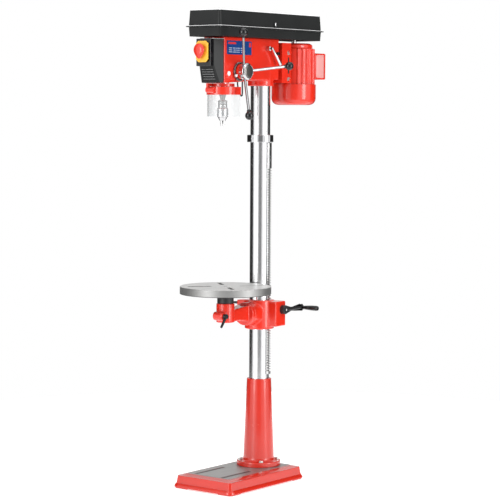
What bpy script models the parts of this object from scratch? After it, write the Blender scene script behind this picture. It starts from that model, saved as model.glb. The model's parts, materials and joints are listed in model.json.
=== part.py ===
"""Floor-standing drill press, built piece by piece in metres with +Z up.

The origin is on the floor under the column's axis. The front of the machine looks along -Y and
the feed handles are on the operator's right, at +X. Every piece is its own object, and the pieces
that move hang from an empty on their joint's axis.
"""
import math

import bmesh
import bpy
from mathutils import Matrix, Vector

GAP = 0.0003                     # between two faces that touch
RUN = 0.0005                     # between a part and the one it turns or slides in

# Base and column
BASE_WIDTH = 0.262
BASE_FRONT = -0.335
BASE_REAR = 0.102
BASE_EDGE_HEIGHT = 0.0463
BASE_HEIGHT = 0.0538
BASE_DRAFT = 0.006
BASE_BORDER = 0.034
BASE_WALL = 0.009
FOOT_LENGTH = 0.060
FOOT_LIFT = 0.003
BASE_SLOT_X = 0.061
BASE_SLOT_WIDTH = 0.014
BASE_SLOT_FRONT = -0.297
BASE_SLOT_REAR = -0.130
COLUMN_RADIUS = 0.0365
COLUMN_WALL = 0.004
FLANGE_RADIUS = 0.082
FLANGE_THICKNESS = 0.018
PEDESTAL_TOP_RADIUS = COLUMN_RADIUS + 0.0082
PEDESTAL_FOOT_RADIUS = PEDESTAL_TOP_RADIUS + 0.0133
PEDESTAL_TOP = 0.379
FLANGE_BOLT_CIRCLE = 0.070
BOLT_RADIUS = 0.0075
BOLT_HEAD_HEIGHT = 0.0065

# Head casting
HEAD_HALF_WIDTH = 0.047
HEAD_FRONT = -0.2755
HEAD_REAR = 0.0490
HEAD_FRONT_BOTTOM = 1.4670
HEAD_REAR_BOTTOM = 1.4840
HEAD_STEP_Y = -0.145
HEAD_TOP = 1.6315
BOSS_RADIUS = COLUMN_RADIUS + 0.0110
BOSS_BOTTOM = 1.4600
COLUMN_SOCKET_DEPTH = 0.030
SPINDLE_Y = -0.2243
FASCIA_FRONT = -0.3180
FASCIA_FOOT = -0.2950
FASCIA_HALF_FRONT = 0.0320
FASCIA_BREAK_Z = 1.5310

# Quill, spindle and chuck
QUILL_RADIUS = 0.0225
QUILL_WALL = 0.0115
QUILL_BOTTOM = 1.4320
QUILL_TOP = 1.5900
QUILL_TRAVEL = 0.080
RACK_MODULE = 0.002
FEED_TEETH = 15
SPINDLE_RADIUS = 0.0080
CHUCK_TOP = 1.4080
CHUCK_BOTTOM = 1.3360
CHUCK_BODY_RADIUS = 0.0165
SLEEVE_RADIUS = 0.0205
JAW_RADIUS = 0.0032
JAW_LEAN = math.radians(11.0)
JAW_REACH = 0.0220
JAW_START = 0.0204
JAW_LENGTH = 0.0320
JAW_TRAVEL = 0.0080

# Feed hub
HUB_Z = 1.5095
HUB_RADIUS = 0.0310
HUB_INNER_X = 0.0660
HUB_OUTER_X = 0.0935
DRUM_RADIUS = 0.0280
DEPTH_RING_RADIUS = 0.0340
DEPTH_RING_WIDTH = 0.0060
ARM_RADIUS = 0.0048
KNOB_RADIUS = 0.0155
KNOB_CIRCLE = 0.1735
KNOB_X = 0.1465
FIRST_ARM_ANGLE = math.radians(127.4)

# Belt drive and its cover
COVER_HALF_WIDTH = 0.0747
COVER_FRONT = -0.3340
COVER_REAR = 0.2840
COVER_CHAMFER = 0.0070
TRAY_INSET = 0.0012
TRAY_DRAFT = 0.0025
TRAY_BOTTOM = HEAD_TOP + 0.0005
LIP_Z = TRAY_BOTTOM + 0.0335
LIP_OUT = 0.009
LIP_THICKNESS = 0.004
COVER_TOP = LIP_Z + 0.0651
COVER_WALL = 0.003
COVER_DRAFT = 0.005
IDLER_Y = -0.050
MOTOR_Y = 0.2055
SPINDLE_STEPS = (0.0500, 0.0430, 0.0360, 0.0290)
IDLER_STEPS = (0.0290, 0.0370, 0.0440, 0.0500)
MOTOR_STEPS = (0.0240, 0.0300, 0.0370, 0.0440)
STEP_HEIGHT = 0.0130
PULLEY_BASE = TRAY_BOTTOM + 0.0160
GROOVE_DEPTH = 0.0050
GROOVE_LOW = 0.0040
GROOVE_HIGH = 0.0095
BELT_HEIGHT = 0.0048
BELT_THICKNESS = 0.0045

# Motor and its plate
MOTOR_RADIUS = 0.0835
STATOR_RADIUS = 0.0790
MOTOR_FAN_BOTTOM = 1.3920
MOTOR_FAN_TOP = 1.4690
STATOR_TOP = 1.6010
BELL_RADIUS = 0.0700
BELL_TOP = 1.6220
PLATE_HALF_WIDTH = 0.0520
PLATE_FRONT = 0.0620
PLATE_REAR = 0.1180
PLATE_BOTTOM = 1.4720
PLATE_TOP = 1.6200
PLATE_WALL = 0.008
SLIDE_BAR_RADIUS = 0.0060
SLIDE_BAR_X = 0.0360
SLIDE_BAR_Z = 1.5250
SLIDE_BAR_START = 0.0340
MOTOR_TRAVEL_IN = 0.010
TERMINAL_HALF_WIDTH = 0.042
TERMINAL_REAR = 0.3530
TERMINAL_BOTTOM = 1.4890
TERMINAL_TOP = 1.5880

# Table, its arm and the column bracket
SWING = math.radians(4.2)        # how far the arm stands swung round the column
TABLE_RADIUS = 0.1653
TABLE_TOP = 0.7377
TABLE_THICKNESS = 0.0276
TABLE_WEB = 0.011
TABLE_Y = SPINDLE_Y
POST_RADIUS = 0.0300
STEM_RADIUS = 0.0200
CLAMP_RADIUS = 0.0330
CLAMP_TOP = 0.6760
CLAMP_BOTTOM = 0.6070
TILT_Z = 0.6260
TILT_RADIUS = 0.0420
BARREL_RADIUS = COLUMN_RADIUS + 0.0175
TILT_Y = -BARREL_RADIUS - 0.0360
BARREL_BOTTOM = 0.5640
BARREL_TOP = 0.6720
GEARBOX_OUT = BARREL_RADIUS + 0.0310
GEARBOX_FRONT = -0.0180
GEARBOX_REAR = 0.0470
GEARBOX_BOTTOM = 0.5760
GEARBOX_TOP = 0.6680
CRANK_Y = 0.0240
CRANK_Z = 0.6370
CRANK_LENGTH = 0.110
CRANK_SHAFT_RADIUS = 0.0060
CRANK_PIN_RADIUS = 0.0035
GRIP_OFFSET = 0.0215
EAR_X = -BARREL_RADIUS - 0.0160
EAR_DEPTH = 0.0220
LIFT_TEETH = 9
LIFT_MODULE = 0.003
RACK_BOTTOM = 0.3960
RACK_TEETH_TOP = 1.1600
RACK_TOP = 1.2530
RACK_BACK = COLUMN_RADIUS + 0.0007
RACK_DEPTH = 0.0090
RACK_HALF_WIDTH = 0.0080
COLLAR_RADIUS = COLUMN_RADIUS + 0.0118
COLLAR_BOTTOM = 1.2545
COLLAR_TOP = 1.2815

# Guard
GUARD_RADIUS = 0.0580
GUARD_WALL = 0.0030
GUARD_TOP = 1.4545
GUARD_LOW = 1.4265
SHIELD_BOTTOM = 1.3490
PIVOT_Y = -0.2880
PIVOT_Z = 1.4430
PIVOT_RADIUS = 0.0110
PIVOT_PIN = 0.0030
KNUCKLE_LEFT = -0.0200
KNUCKLE_WIDTH = 0.0085
BARREL_RIGHT = 0.0120
GUARD_SIDE = 0.0330              # how far the guard's sides reach back past the spindle
SHIELD_WALL = 0.0020

# Switch
SWITCH_HALF_WIDTH = 0.0320
SWITCH_FRONT = -0.3350
SWITCH_BOTTOM = 1.5265
SWITCH_TOP = 1.6235
FLAP_HALF_WIDTH = 0.0270
FLAP_FRONT = -0.3440
FLAP_BOTTOM = 1.5400
FLAP_TOP = 1.6150
MUSHROOM_RADIUS = 0.0200

BUTTON_HALF = 0.0095
BUTTON_BACK = -0.3225
BUTTON_PLACES = {"start_button": (0.0, 1.5905), "stop_button": (0.0, 1.5580)}
HINGE_Z = 1.6110
MUSHROOM_X = -0.0020
MUSHROOM_Z = 1.5780

# Small parts
LEAD_DIAMETER = 0.0055
LEAD_SOCKET_TOP = 1.4860
LEAD_STATIONS = ((0.0300, -0.1760, None), (0.0300, -0.1760, 1.4660), (0.0300, -0.1735, 1.4540),
                 (0.0300, -0.1680, 1.4420), (0.0300, -0.1610, 1.4300), (0.0300, -0.1545, 1.4225),
                 (0.0300, -0.1490, 1.4240), (0.0300, -0.1475, 1.4330), (0.0300, -0.1475, 1.4460),
                 (0.0300, -0.1480, 1.4580), (0.0300, -0.1480, None))
HINGE_PLACES = (-0.200, 0.140)
MOTOR_BOLT_HEIGHTS = (1.4820, 1.5860)
RIB_ANGLES = (-42, -28, -14, 0, 14, 28, 42, 138, 152, 166, 180, 194, 208, 222)
ROTOR_SHAFT_RADIUS = 0.0095
LEVER_PIVOT = (-0.0242, 1.5962)
LOCK_PLACE = (0.0340, 1.5790)
LEVER_Z = 0.6520
EAR_Z = 0.6320
CLAMP_EAR_HALF = 0.0200
TABLE_HOLE_RADIUS = 0.0080
TABLE_SLOT_LENGTH = 0.085
TABLE_SLOT_WIDTH = 0.014
TABLE_SLOT_CIRCLE = 0.095

PARTS = "drill_press"
CUTTERS = "cutters"


# ---------------------------------------------------------------- scene and materials

def clear_scene():
    for obj in list(bpy.data.objects):
        bpy.data.objects.remove(obj)
    for name in (PARTS, CUTTERS):
        bpy.context.scene.collection.children.link(bpy.data.collections.new(name))


def material(name, colour, roughness, metallic=0.0):
    finish = bpy.data.materials.get(name)
    if finish is None:
        finish = bpy.data.materials.new(name)
        finish.use_nodes = True
        shader = finish.node_tree.nodes["Principled BSDF"]
        shader.inputs["Base Color"].default_value = (*colour, 1.0)
        shader.inputs["Roughness"].default_value = roughness
        shader.inputs["Metallic"].default_value = metallic
        finish.diffuse_color = (*colour, 1.0)
    return finish


def red_paint():
    return material("red_paint", (0.78, 0.045, 0.025), 0.28)


def black_plastic():
    return material("black_plastic", (0.018, 0.018, 0.019), 0.38)


def steel():
    return material("bright_steel", (0.62, 0.62, 0.63), 0.22, 1.0)


def ground_iron():
    return material("ground_iron", (0.42, 0.42, 0.41), 0.34, 1.0)


def chrome():
    return material("chrome", (0.80, 0.80, 0.82), 0.10, 1.0)


def yellow_plastic():
    return material("yellow_plastic", (0.95, 0.56, 0.06), 0.38)


def clear_plastic():
    return material("clear_plastic", (0.85, 0.90, 0.92), 0.08)


def rubber():
    return material("black_rubber", (0.02, 0.02, 0.02), 0.65)


# ---------------------------------------------------------------- shape helpers

def add_object(name, data, helper=False):
    obj = bpy.data.objects.new(name, data)
    bpy.data.collections[CUTTERS if helper else PARTS].objects.link(obj)
    if helper:
        obj.hide_render = True
        obj.display_type = "WIRE"
    return obj


def from_bmesh(name, shape, helper=False):
    data = bpy.data.meshes.new(name)
    bmesh.ops.recalc_face_normals(shape, faces=shape.faces)
    shape.to_mesh(data)
    shape.free()
    return add_object(name, data, helper)


def finish(obj, look, angle=30.0):
    """Gives a piece its material, and smooth shading with sharp edges above the angle."""
    obj.data.materials.clear()
    obj.data.materials.append(look)
    if obj.type == "MESH":
        obj.data.shade_smooth()
        obj.data.set_sharp_from_angle(angle=math.radians(angle))
    return obj


def rounded(obj, width, segments=2, angle=40.0):
    bevel = obj.modifiers.new("rounding", "BEVEL")
    bevel.width = width
    bevel.segments = segments
    bevel.limit_method = "ANGLE"
    bevel.angle_limit = math.radians(angle)
    return obj


def block(name, low, high, helper=False):
    shape = bmesh.new()
    bmesh.ops.create_cube(shape, size=1.0)
    size = Vector(high) - Vector(low)
    middle = (Vector(high) + Vector(low)) / 2
    bmesh.ops.scale(shape, vec=size, verts=shape.verts)
    obj = from_bmesh(name, shape, helper)
    obj.location = middle
    return obj


def rod(name, start, end, radius, end_radius=None, segments=20, helper=False):
    """A cylinder or cone from start to end."""
    start, end = Vector(start), Vector(end)
    shape = bmesh.new()
    last = radius if end_radius is None else end_radius
    bmesh.ops.create_cone(shape, cap_ends=True, segments=segments, radius1=radius, radius2=last,
                          depth=(end - start).length)
    turn = (end - start).to_track_quat("Z", "Y").to_matrix()
    bmesh.ops.rotate(shape, matrix=turn, verts=shape.verts)
    obj = from_bmesh(name, shape, helper)
    obj.location = (start + end) / 2
    return obj


def turned(name, profile, centre, axis="Z", segments=24, helper=False):
    """Turns an outline of (radius, height) points, listed from the top down the outer side.

    Points at radius 0 close on the axis. An outline that stays off the axis closes on itself.
    """
    shape = bmesh.new()
    points = [shape.verts.new((radius, 0.0, height)) for radius, height in profile]
    for first, second in zip(points, points[1:]):
        shape.edges.new((first, second))
    if min(radius for radius, height in profile) > 0.0:
        shape.edges.new((points[-1], points[0]))
    data = bpy.data.meshes.new(name)
    shape.to_mesh(data)
    shape.free()
    obj = add_object(name, data, helper)
    screw = obj.modifiers.new("turning", "SCREW")
    screw.axis = "Z"
    screw.steps = segments
    screw.render_steps = segments
    screw.use_merge_vertices = True
    screw.merge_threshold = 0.00002
    obj.location = centre
    if axis == "X":
        obj.rotation_euler = (0.0, math.radians(90.0), 0.0)
    if axis == "Y":
        obj.rotation_euler = (math.radians(-90.0), 0.0, 0.0)
    return obj


def drum(name, outer, inner, low, high, centre, axis="Z", segments=24, helper=False):
    """A round piece between two heights along its axis, with a hole when inner is over 0."""
    profile = [(inner, high), (outer, high), (outer, low), (inner, low)]
    return turned(name, profile, centre, axis, segments, helper)


def outline(name, points, low, high, axis="Z", helper=False):
    """An outline extruded from low to high along an axis, made from a filled flat curve.

    Points are (x, y) for Z, (y, z) for X and (x, z) for Y.
    """
    curve = bpy.data.curves.new(name, "CURVE")
    curve.dimensions = "2D"
    curve.fill_mode = "BOTH"
    curve.extrude = (high - low) / 2
    spline = curve.splines.new("POLY")
    spline.points.add(len(points) - 1)
    spline.use_cyclic_u = True
    for place, (across, up) in zip(spline.points, points):
        place.co = (across, up, 0.0, 1.0)
    guide = bpy.data.objects.new(name + "_guide", curve)
    bpy.data.collections[CUTTERS].objects.link(guide)
    bpy.context.view_layer.update()
    graph = bpy.context.evaluated_depsgraph_get()
    data = bpy.data.meshes.new_from_object(guide.evaluated_get(graph))
    bpy.data.objects.remove(guide)
    shape = bmesh.new()
    shape.from_mesh(data)
    bmesh.ops.remove_doubles(shape, verts=shape.verts, dist=0.00001)
    middle = (low + high) / 2
    columns = {"Z": ((1, 0, 0), (0, 1, 0), (0, 0, 1)),
               "X": ((0, 1, 0), (0, 0, 1), (1, 0, 0)),
               "Y": ((1, 0, 0), (0, 0, 1), (0, -1, 0))}[axis]
    turn = Matrix(columns).transposed()
    bmesh.ops.transform(shape, matrix=turn.to_4x4(), verts=shape.verts)
    offset = {"Z": (0, 0, middle), "X": (middle, 0, 0), "Y": (0, middle, 0)}[axis]
    bmesh.ops.translate(shape, vec=offset, verts=shape.verts)
    return from_bmesh(name, shape, helper)


def toothed(name, points, low, high, axis, helper=False):
    """A toothed outline extruded along an axis from one many-sided face, which a curve's fill can't close."""
    shape = bmesh.new()
    columns = {"X": lambda a, b: (low, a, b), "Y": lambda a, b: (a, low, b)}[axis]
    face = shape.faces.new([shape.verts.new(columns(across, up)) for across, up in points])
    grown = bmesh.ops.extrude_face_region(shape, geom=[face])
    moved = [item for item in grown["geom"] if isinstance(item, bmesh.types.BMVert)]
    step = {"X": (high - low, 0, 0), "Y": (0, high - low, 0)}[axis]
    bmesh.ops.translate(shape, vec=step, verts=moved)
    return from_bmesh(name, shape, helper)


def frustum(name, lower, upper, low_z, high_z, helper=False):
    """A loft between two outlines with the same number of (x, y) points."""
    shape = bmesh.new()
    rings = []
    for points, height in ((lower, low_z), (upper, high_z)):
        rings.append([shape.verts.new((x, y, height)) for x, y in points])
    shape.faces.new(list(reversed(rings[0])))
    shape.faces.new(rings[1])
    count = len(lower)
    for k in range(count):
        after = (k + 1) % count
        shape.faces.new((rings[0][k], rings[0][after], rings[1][after], rings[1][k]))
    return from_bmesh(name, shape, helper)


def tube(name, route, radius, resolution=2):
    """A round wire along a list of points, with filled caps."""
    curve = bpy.data.curves.new(name, "CURVE")
    curve.dimensions = "3D"
    curve.bevel_depth = radius
    curve.bevel_resolution = resolution
    curve.use_fill_caps = True
    spline = curve.splines.new("POLY")
    spline.points.add(len(route) - 1)
    for place, point in zip(spline.points, route):
        place.co = (*point, 1.0)
    return add_object(name, curve)


def ball(name, centre, radius, segments=14, rings=8, helper=False):
    shape = bmesh.new()
    bmesh.ops.create_uvsphere(shape, u_segments=segments, v_segments=rings, radius=radius)
    obj = from_bmesh(name, shape, helper)
    obj.location = centre
    return obj


def keep_place(child, parent):
    """Parents without moving the child."""
    bpy.context.view_layer.update()
    child.parent = parent
    child.matrix_parent_inverse = parent.matrix_world.inverted()


def combine(target, tool, operation, solver="EXACT"):
    boolean = target.modifiers.new(operation.lower(), "BOOLEAN")
    boolean.operation = operation
    boolean.solver = solver
    boolean.object = tool
    keep_place(tool, target)
    return target


def cut(target, *tools):
    for tool in tools:
        combine(target, tool, "DIFFERENCE")
    return target


def join(target, *tools, solver="EXACT"):
    for tool in tools:
        combine(target, tool, "UNION", solver)
    return target


def axis_empty(name, place, parent=None):
    """The joint's axis: what moves with the joint is parented to it."""
    empty = bpy.data.objects.new(name, None)
    empty.empty_display_size = 0.02
    bpy.data.collections[PARTS].objects.link(empty)
    empty.location = place
    if parent is not None:
        keep_place(empty, parent)
    return empty


def carry(empty, *pieces):
    for piece in pieces:
        keep_place(piece, empty)


def rectangle(half_width, front, rear, corner=0.0):
    """An (x, y) outline, with each corner cut off by the given length."""
    if corner <= 0.0:
        return [(-half_width, front), (half_width, front), (half_width, rear), (-half_width, rear)]
    return [(-half_width + corner, front), (half_width - corner, front),
            (half_width, front + corner), (half_width, rear - corner),
            (half_width - corner, rear), (-half_width + corner, rear),
            (-half_width, rear - corner), (-half_width, front + corner)]


def arc(centre, radius, start, end, steps):
    """Points along an arc in degrees, both ends included."""
    turn = [math.radians(start + (end - start) * k / steps) for k in range(steps + 1)]
    return [(centre[0] + radius * math.cos(a), centre[1] + radius * math.sin(a)) for a in turn]


def gear_outline(teeth, module, centre, rotation, tip=1.0, root=1.2, share=0.36):
    """Straight-flanked teeth round a centre. A tooth points along the rotation angle."""
    pitch = teeth * module / 2
    points = []
    step = 2 * math.pi / teeth
    for k in range(teeth):
        middle = rotation + k * step
        for radius, half in ((pitch - root * module, share * 0.72), (pitch + tip * module, share * 0.28)):
            points.append((radius, middle - half * step))
        for radius, half in ((pitch + tip * module, share * 0.28), (pitch - root * module, share * 0.72)):
            points.append((radius, middle + half * step))
    return [(centre[0] + radius * math.cos(a), centre[1] + radius * math.sin(a)) for radius, a in points]


def rack_outline(back, pitch_line, low, high, teeth_low, teeth_high, module, meshed_at, share=0.42):
    """A rack's (depth, height) outline: flat back, teeth on the other side.

    A gap between two teeth is centred on the height meshed_at, so a pinion tooth enters it there.
    """
    pitch = math.pi * module
    sign = 1.0 if pitch_line > back else -1.0
    tip = pitch_line + sign * module * 0.85
    root = pitch_line - sign * module * 1.15
    points = [(back, low), (tip, low)]
    first = math.ceil((teeth_low - meshed_at) / pitch)
    last = math.floor((teeth_high - meshed_at) / pitch)
    for k in range(first, last + 1):
        middle = meshed_at + k * pitch
        wide = (1.0 - share * 0.56) * pitch / 2
        narrow = (1.0 - share * 1.5) * pitch / 2
        points += [(tip, middle - wide), (root, middle - narrow), (root, middle + narrow),
                   (tip, middle + wide)]
    points += [(tip, high), (back, high)]
    return points


# ---------------------------------------------------------------- base and column

def base_casting():
    half = BASE_WIDTH / 2
    foot = rectangle(half, BASE_FRONT, BASE_REAR, 0.008)
    edge = rectangle(half - BASE_DRAFT, BASE_FRONT + BASE_DRAFT, BASE_REAR - BASE_DRAFT, 0.008)
    slope = rectangle(half - BASE_DRAFT - 0.002, BASE_FRONT + BASE_DRAFT + 0.002,
                      BASE_REAR - BASE_DRAFT - 0.002, 0.008)
    plate = rectangle(half - BASE_BORDER, BASE_FRONT + BASE_BORDER, BASE_REAR - BASE_BORDER, 0.008)
    obj = frustum("base_casting", foot, edge, 0.0, BASE_EDGE_HEIGHT)
    low_crown = BASE_EDGE_HEIGHT - 0.004
    join(obj, frustum("base_crown", slope, plate, low_crown, BASE_HEIGHT, helper=True))
    inner = half - BASE_DRAFT - BASE_WALL
    hollow = block("base_hollow", (-inner, BASE_FRONT + BASE_DRAFT + BASE_WALL, -0.01),
                   (inner, BASE_REAR - BASE_DRAFT - BASE_WALL, BASE_EDGE_HEIGHT - BASE_WALL), helper=True)
    cut(obj, hollow)
    span_x = half - FOOT_LENGTH
    cut(obj, block("skirt_lift_x", (-span_x, BASE_FRONT - 0.01, -0.01),
                   (span_x, BASE_REAR + 0.01, FOOT_LIFT), helper=True))
    cut(obj, block("skirt_lift_y", (-half - 0.01, BASE_FRONT + FOOT_LENGTH, -0.0101),
                   (half + 0.01, BASE_REAR - FOOT_LENGTH, FOOT_LIFT + 0.0001), helper=True))
    join(obj, rod("base_boss", (0, 0, 0), (0, 0, BASE_EDGE_HEIGHT - 0.005), 0.030, helper=True))
    for side in (-1, 1):
        x = side * BASE_SLOT_X
        wide = BASE_SLOT_WIDTH / 2
        cut(obj, block(f"base_slot_{side}", (x - wide, BASE_SLOT_FRONT, 0.02),
                       (x + wide, BASE_SLOT_REAR, 0.07), helper=True))
    return finish(obj, red_paint())


def pedestal():
    """The flanged casting that holds the column: flange, fillet and tapered socket."""
    bottom = BASE_HEIGHT + GAP
    top_of_flange = bottom + FLANGE_THICKNESS
    bore = COLUMN_RADIUS + GAP
    fillet = 0.004
    profile = [(bore, PEDESTAL_TOP), (PEDESTAL_TOP_RADIUS, PEDESTAL_TOP),
               (PEDESTAL_FOOT_RADIUS, top_of_flange + fillet),
               (PEDESTAL_FOOT_RADIUS + fillet, top_of_flange),
               (FLANGE_RADIUS, top_of_flange), (FLANGE_RADIUS, bottom), (bore, bottom)]
    obj = turned("pedestal", profile, (0, 0, 0), segments=32)
    return finish(obj, red_paint(), 45)


def flange_bolts():
    """Four hexagon bolts on the flange, seated in counterbores so that they clear the casting."""
    seat = BASE_HEIGHT + FLANGE_THICKNESS + 2 * GAP
    bolts = []
    for k in range(4):
        turn = math.radians(45 + 90 * k)
        x, y = FLANGE_BOLT_CIRCLE * math.cos(turn), FLANGE_BOLT_CIRCLE * math.sin(turn)
        obj = turned(f"flange_bolt_{k + 1}", [(0.0, BOLT_HEAD_HEIGHT), (BOLT_RADIUS, BOLT_HEAD_HEIGHT),
                     (BOLT_RADIUS, 0.0), (0.0, 0.0)], (x, y, seat), segments=6)
        bolts.append(finish(obj, steel()))
    return bolts


def column():
    low = BASE_HEIGHT + GAP
    high = HEAD_TOP - COLUMN_SOCKET_DEPTH
    obj = drum("column_tube", COLUMN_RADIUS, COLUMN_RADIUS - COLUMN_WALL, low, high, (0, 0, 0), segments=40)
    return finish(obj, steel())


def rack_collar():
    """The ring that keeps the rack's upper end against the column, with its grub screw."""
    bore = COLUMN_RADIUS + GAP
    skirt = 0.010
    groove = RACK_BACK + RACK_DEPTH + 2 * RUN
    profile = [(bore, COLLAR_TOP), (COLLAR_RADIUS - 0.002, COLLAR_TOP), (COLLAR_RADIUS, COLLAR_TOP - 0.002),
               (COLLAR_RADIUS, COLLAR_BOTTOM), (bore, COLLAR_BOTTOM)]
    obj = turned("rack_collar", profile, (0, 0, 0), segments=32)
    join(obj, rod("collar_screw", (0, -COLLAR_RADIUS + 0.004, COLLAR_BOTTOM + skirt + 0.003),
                  (0, -groove - 0.004, COLLAR_BOTTOM + skirt + 0.003), 0.004, segments=12, helper=True))
    return finish(obj, red_paint())


# ---------------------------------------------------------------- head

def head_casting():
    """The box casting that carries the quill, the feed shaft and the motor's slide bars."""
    side = [(HEAD_FRONT, HEAD_FRONT_BOTTOM), (HEAD_STEP_Y, HEAD_FRONT_BOTTOM + 0.008),
            (HEAD_STEP_Y + 0.02, HEAD_REAR_BOTTOM - 0.004), (HEAD_REAR, HEAD_REAR_BOTTOM),
            (HEAD_REAR, HEAD_TOP), (HEAD_FRONT, HEAD_TOP)]
    obj = outline("head_casting", side, -HEAD_HALF_WIDTH, HEAD_HALF_WIDTH, "X")
    join(obj, rod("column_boss", (0, 0, BOSS_BOTTOM), (0, 0, HEAD_TOP - 0.004), BOSS_RADIUS,
                  segments=40, helper=True))
    bore = COLUMN_RADIUS + GAP
    cut(obj, rod("column_bore", (0, 0, BOSS_BOTTOM - 0.02),
                 (0, 0, HEAD_TOP - COLUMN_SOCKET_DEPTH + GAP), bore,
                 segments=48, helper=True))
    cut(obj, rod("quill_bore", (0, SPINDLE_Y, HEAD_FRONT_BOTTOM - 0.02), (0, SPINDLE_Y, HEAD_TOP + 0.02),
                 QUILL_RADIUS + RUN, segments=32, helper=True))
    side = HEAD_HALF_WIDTH + 0.01
    pinion_tip = FEED_TEETH * RACK_MODULE / 2 + RACK_MODULE
    cut(obj, rod("feed_bore", (-side, feed_y(), HUB_Z), (side, feed_y(), HUB_Z), pinion_tip + RUN,
                 segments=24, helper=True))
    for x, y, _ in (LEAD_STATIONS[0], LEAD_STATIONS[-1]):
        cut(obj, rod(f"lead_socket_{y}", (x, y, BOSS_BOTTOM), (x, y, LEAD_SOCKET_TOP),
                     LEAD_DIAMETER / 2 + RUN, segments=14, helper=True))
    inner = HEAD_HALF_WIDTH - 0.009
    cut(obj, block("head_hollow", (-inner, -0.150, HEAD_REAR_BOTTOM + 0.012),
                   (inner, -BOSS_RADIUS - 0.002, HEAD_TOP - 0.012), helper=True))
    cut(obj, rod("core_opening", (0, -0.100, HEAD_REAR_BOTTOM - 0.03), (0, -0.100, HEAD_REAR_BOTTOM + 0.03),
                 0.018, segments=16, helper=True))
    for x, z in slide_bar_places():
        end_of_bore = SLIDE_BAR_START - MOTOR_TRAVEL_IN - 0.002
        cut(obj, rod("bar_bore", (x, end_of_bore, z), (x, HEAD_REAR + 0.02, z), SLIDE_BAR_RADIUS + RUN,
                     segments=20, helper=True))
    return finish(obj, red_paint())


def feed_y():
    """The feed shaft lies behind the quill, one pinion radius behind the rack's pitch line."""
    return SPINDLE_Y + QUILL_RADIUS - RACK_MODULE + FEED_TEETH * RACK_MODULE / 2


def slide_bar_places():
    return ((-SLIDE_BAR_X, SLIDE_BAR_Z), (SLIDE_BAR_X, SLIDE_BAR_Z))


def front_fascia():
    """The moulded front cover: upright above, leaning back below, wrapped onto the casting's sides."""
    rear = HEAD_FRONT - GAP
    top = HEAD_TOP - 0.006
    side = [(FASCIA_FRONT, top), (rear, top), (rear, HEAD_FRONT_BOTTOM + 0.001),
            (FASCIA_FOOT, HEAD_FRONT_BOTTOM + 0.001), (FASCIA_FRONT, FASCIA_BREAK_Z)]
    obj = outline("front_fascia", side, -HEAD_HALF_WIDTH, HEAD_HALF_WIDTH, "X")
    for sign in (-1, 1):
        trim = [(sign * HEAD_HALF_WIDTH, rear + 0.001), (sign * (HEAD_HALF_WIDTH + 0.02), rear + 0.001),
                (sign * (HEAD_HALF_WIDTH + 0.02), FASCIA_FRONT - 0.01),
                (sign * (FASCIA_HALF_FRONT - 0.003), FASCIA_FRONT - 0.01)]
        cut(obj, outline(f"fascia_side_{sign}", trim, HEAD_FRONT_BOTTOM - 0.01, top + 0.01, helper=True))
    return finish(obj, black_plastic())


def spring_cap():
    """The cup on the left of the head that holds the feed's return spring."""
    inner = -HEAD_HALF_WIDTH - GAP
    profile = [(0.0, -0.017), (0.027, -0.017), (0.027, 0.0), (0.030, 0.0), (0.030, -0.016), (0.026, -0.020),
               (0.0, -0.020)]
    obj = turned("spring_cap", profile, (inner, feed_y(), HUB_Z), "X")
    return finish(obj, material("grey_metal", (0.35, 0.36, 0.37), 0.4, 0.8))


def return_spring():
    """A flat spiral of strip, wound round the feed shaft inside its cup."""
    turns, first, pitch = 3.5, 0.0115, 0.0036
    count = 44
    strip = 0.0008
    inner, outer = [], []
    for k in range(count + 1):
        a = 2 * math.pi * turns * k / count
        r = first + pitch * a / (2 * math.pi)
        inner.append((feed_y() + r * math.cos(a), HUB_Z + r * math.sin(a)))
        outer.append((feed_y() + (r + strip) * math.cos(a), HUB_Z + (r + strip) * math.sin(a)))
    x = -HEAD_HALF_WIDTH - GAP
    obj = outline("return_spring", outer + inner[::-1], x - 0.0145, x - 0.0025, "X")
    return finish(obj, steel())


# ---------------------------------------------------------------- quill, spindle, chuck

def quill():
    profile = [(QUILL_WALL, QUILL_TOP), (QUILL_RADIUS, QUILL_TOP), (QUILL_RADIUS, QUILL_BOTTOM),
               (QUILL_WALL, QUILL_BOTTOM)]
    obj = turned("quill", profile, (0, SPINDLE_Y, 0), segments=32)
    pitch_line = SPINDLE_Y + QUILL_RADIUS - RACK_MODULE
    flat = block("quill_rack_face", (-0.0085, pitch_line + RACK_MODULE * 0.85, HUB_Z - 0.014),
                 (0.0085, SPINDLE_Y + QUILL_RADIUS + 0.01, QUILL_TOP + 0.01), helper=True)
    cut(obj, flat)
    pitch = math.pi * RACK_MODULE
    for k in range(-1, int(QUILL_TRAVEL / pitch) + 2):
        z = HUB_Z + k * pitch
        wide, narrow = 0.38 * pitch, 0.185 * pitch
        deep = pitch_line - RACK_MODULE * 1.15
        out = SPINDLE_Y + QUILL_RADIUS + 0.002
        notch = [(deep, z - narrow), (out, z - wide - 0.0004), (out, z + wide + 0.0004), (deep, z + narrow)]
        cut(obj, outline(f"quill_notch_{k + 1}", notch, -0.0085, 0.0085, "X", helper=True))
    return finish(obj, steel())


def spindle():
    """The spindle in its quill, with a splined top and a tapered nose for the chuck."""
    top = HEAD_TOP + 0.020
    profile = [(0.0, top), (SPINDLE_RADIUS - 0.002, top), (SPINDLE_RADIUS - 0.002, QUILL_TOP + 0.004),
               (SPINDLE_RADIUS, QUILL_TOP + 0.004), (SPINDLE_RADIUS, QUILL_BOTTOM - 0.001),
               (0.0125, QUILL_BOTTOM - 0.001), (0.0125, QUILL_BOTTOM - 0.007),
               (0.0085, CHUCK_TOP + 0.004), (0.0075, CHUCK_TOP - 0.022), (0.0, CHUCK_TOP - 0.022)]
    obj = turned("spindle", profile, (0, SPINDLE_Y, 0), segments=24)
    return finish(obj, steel())


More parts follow.
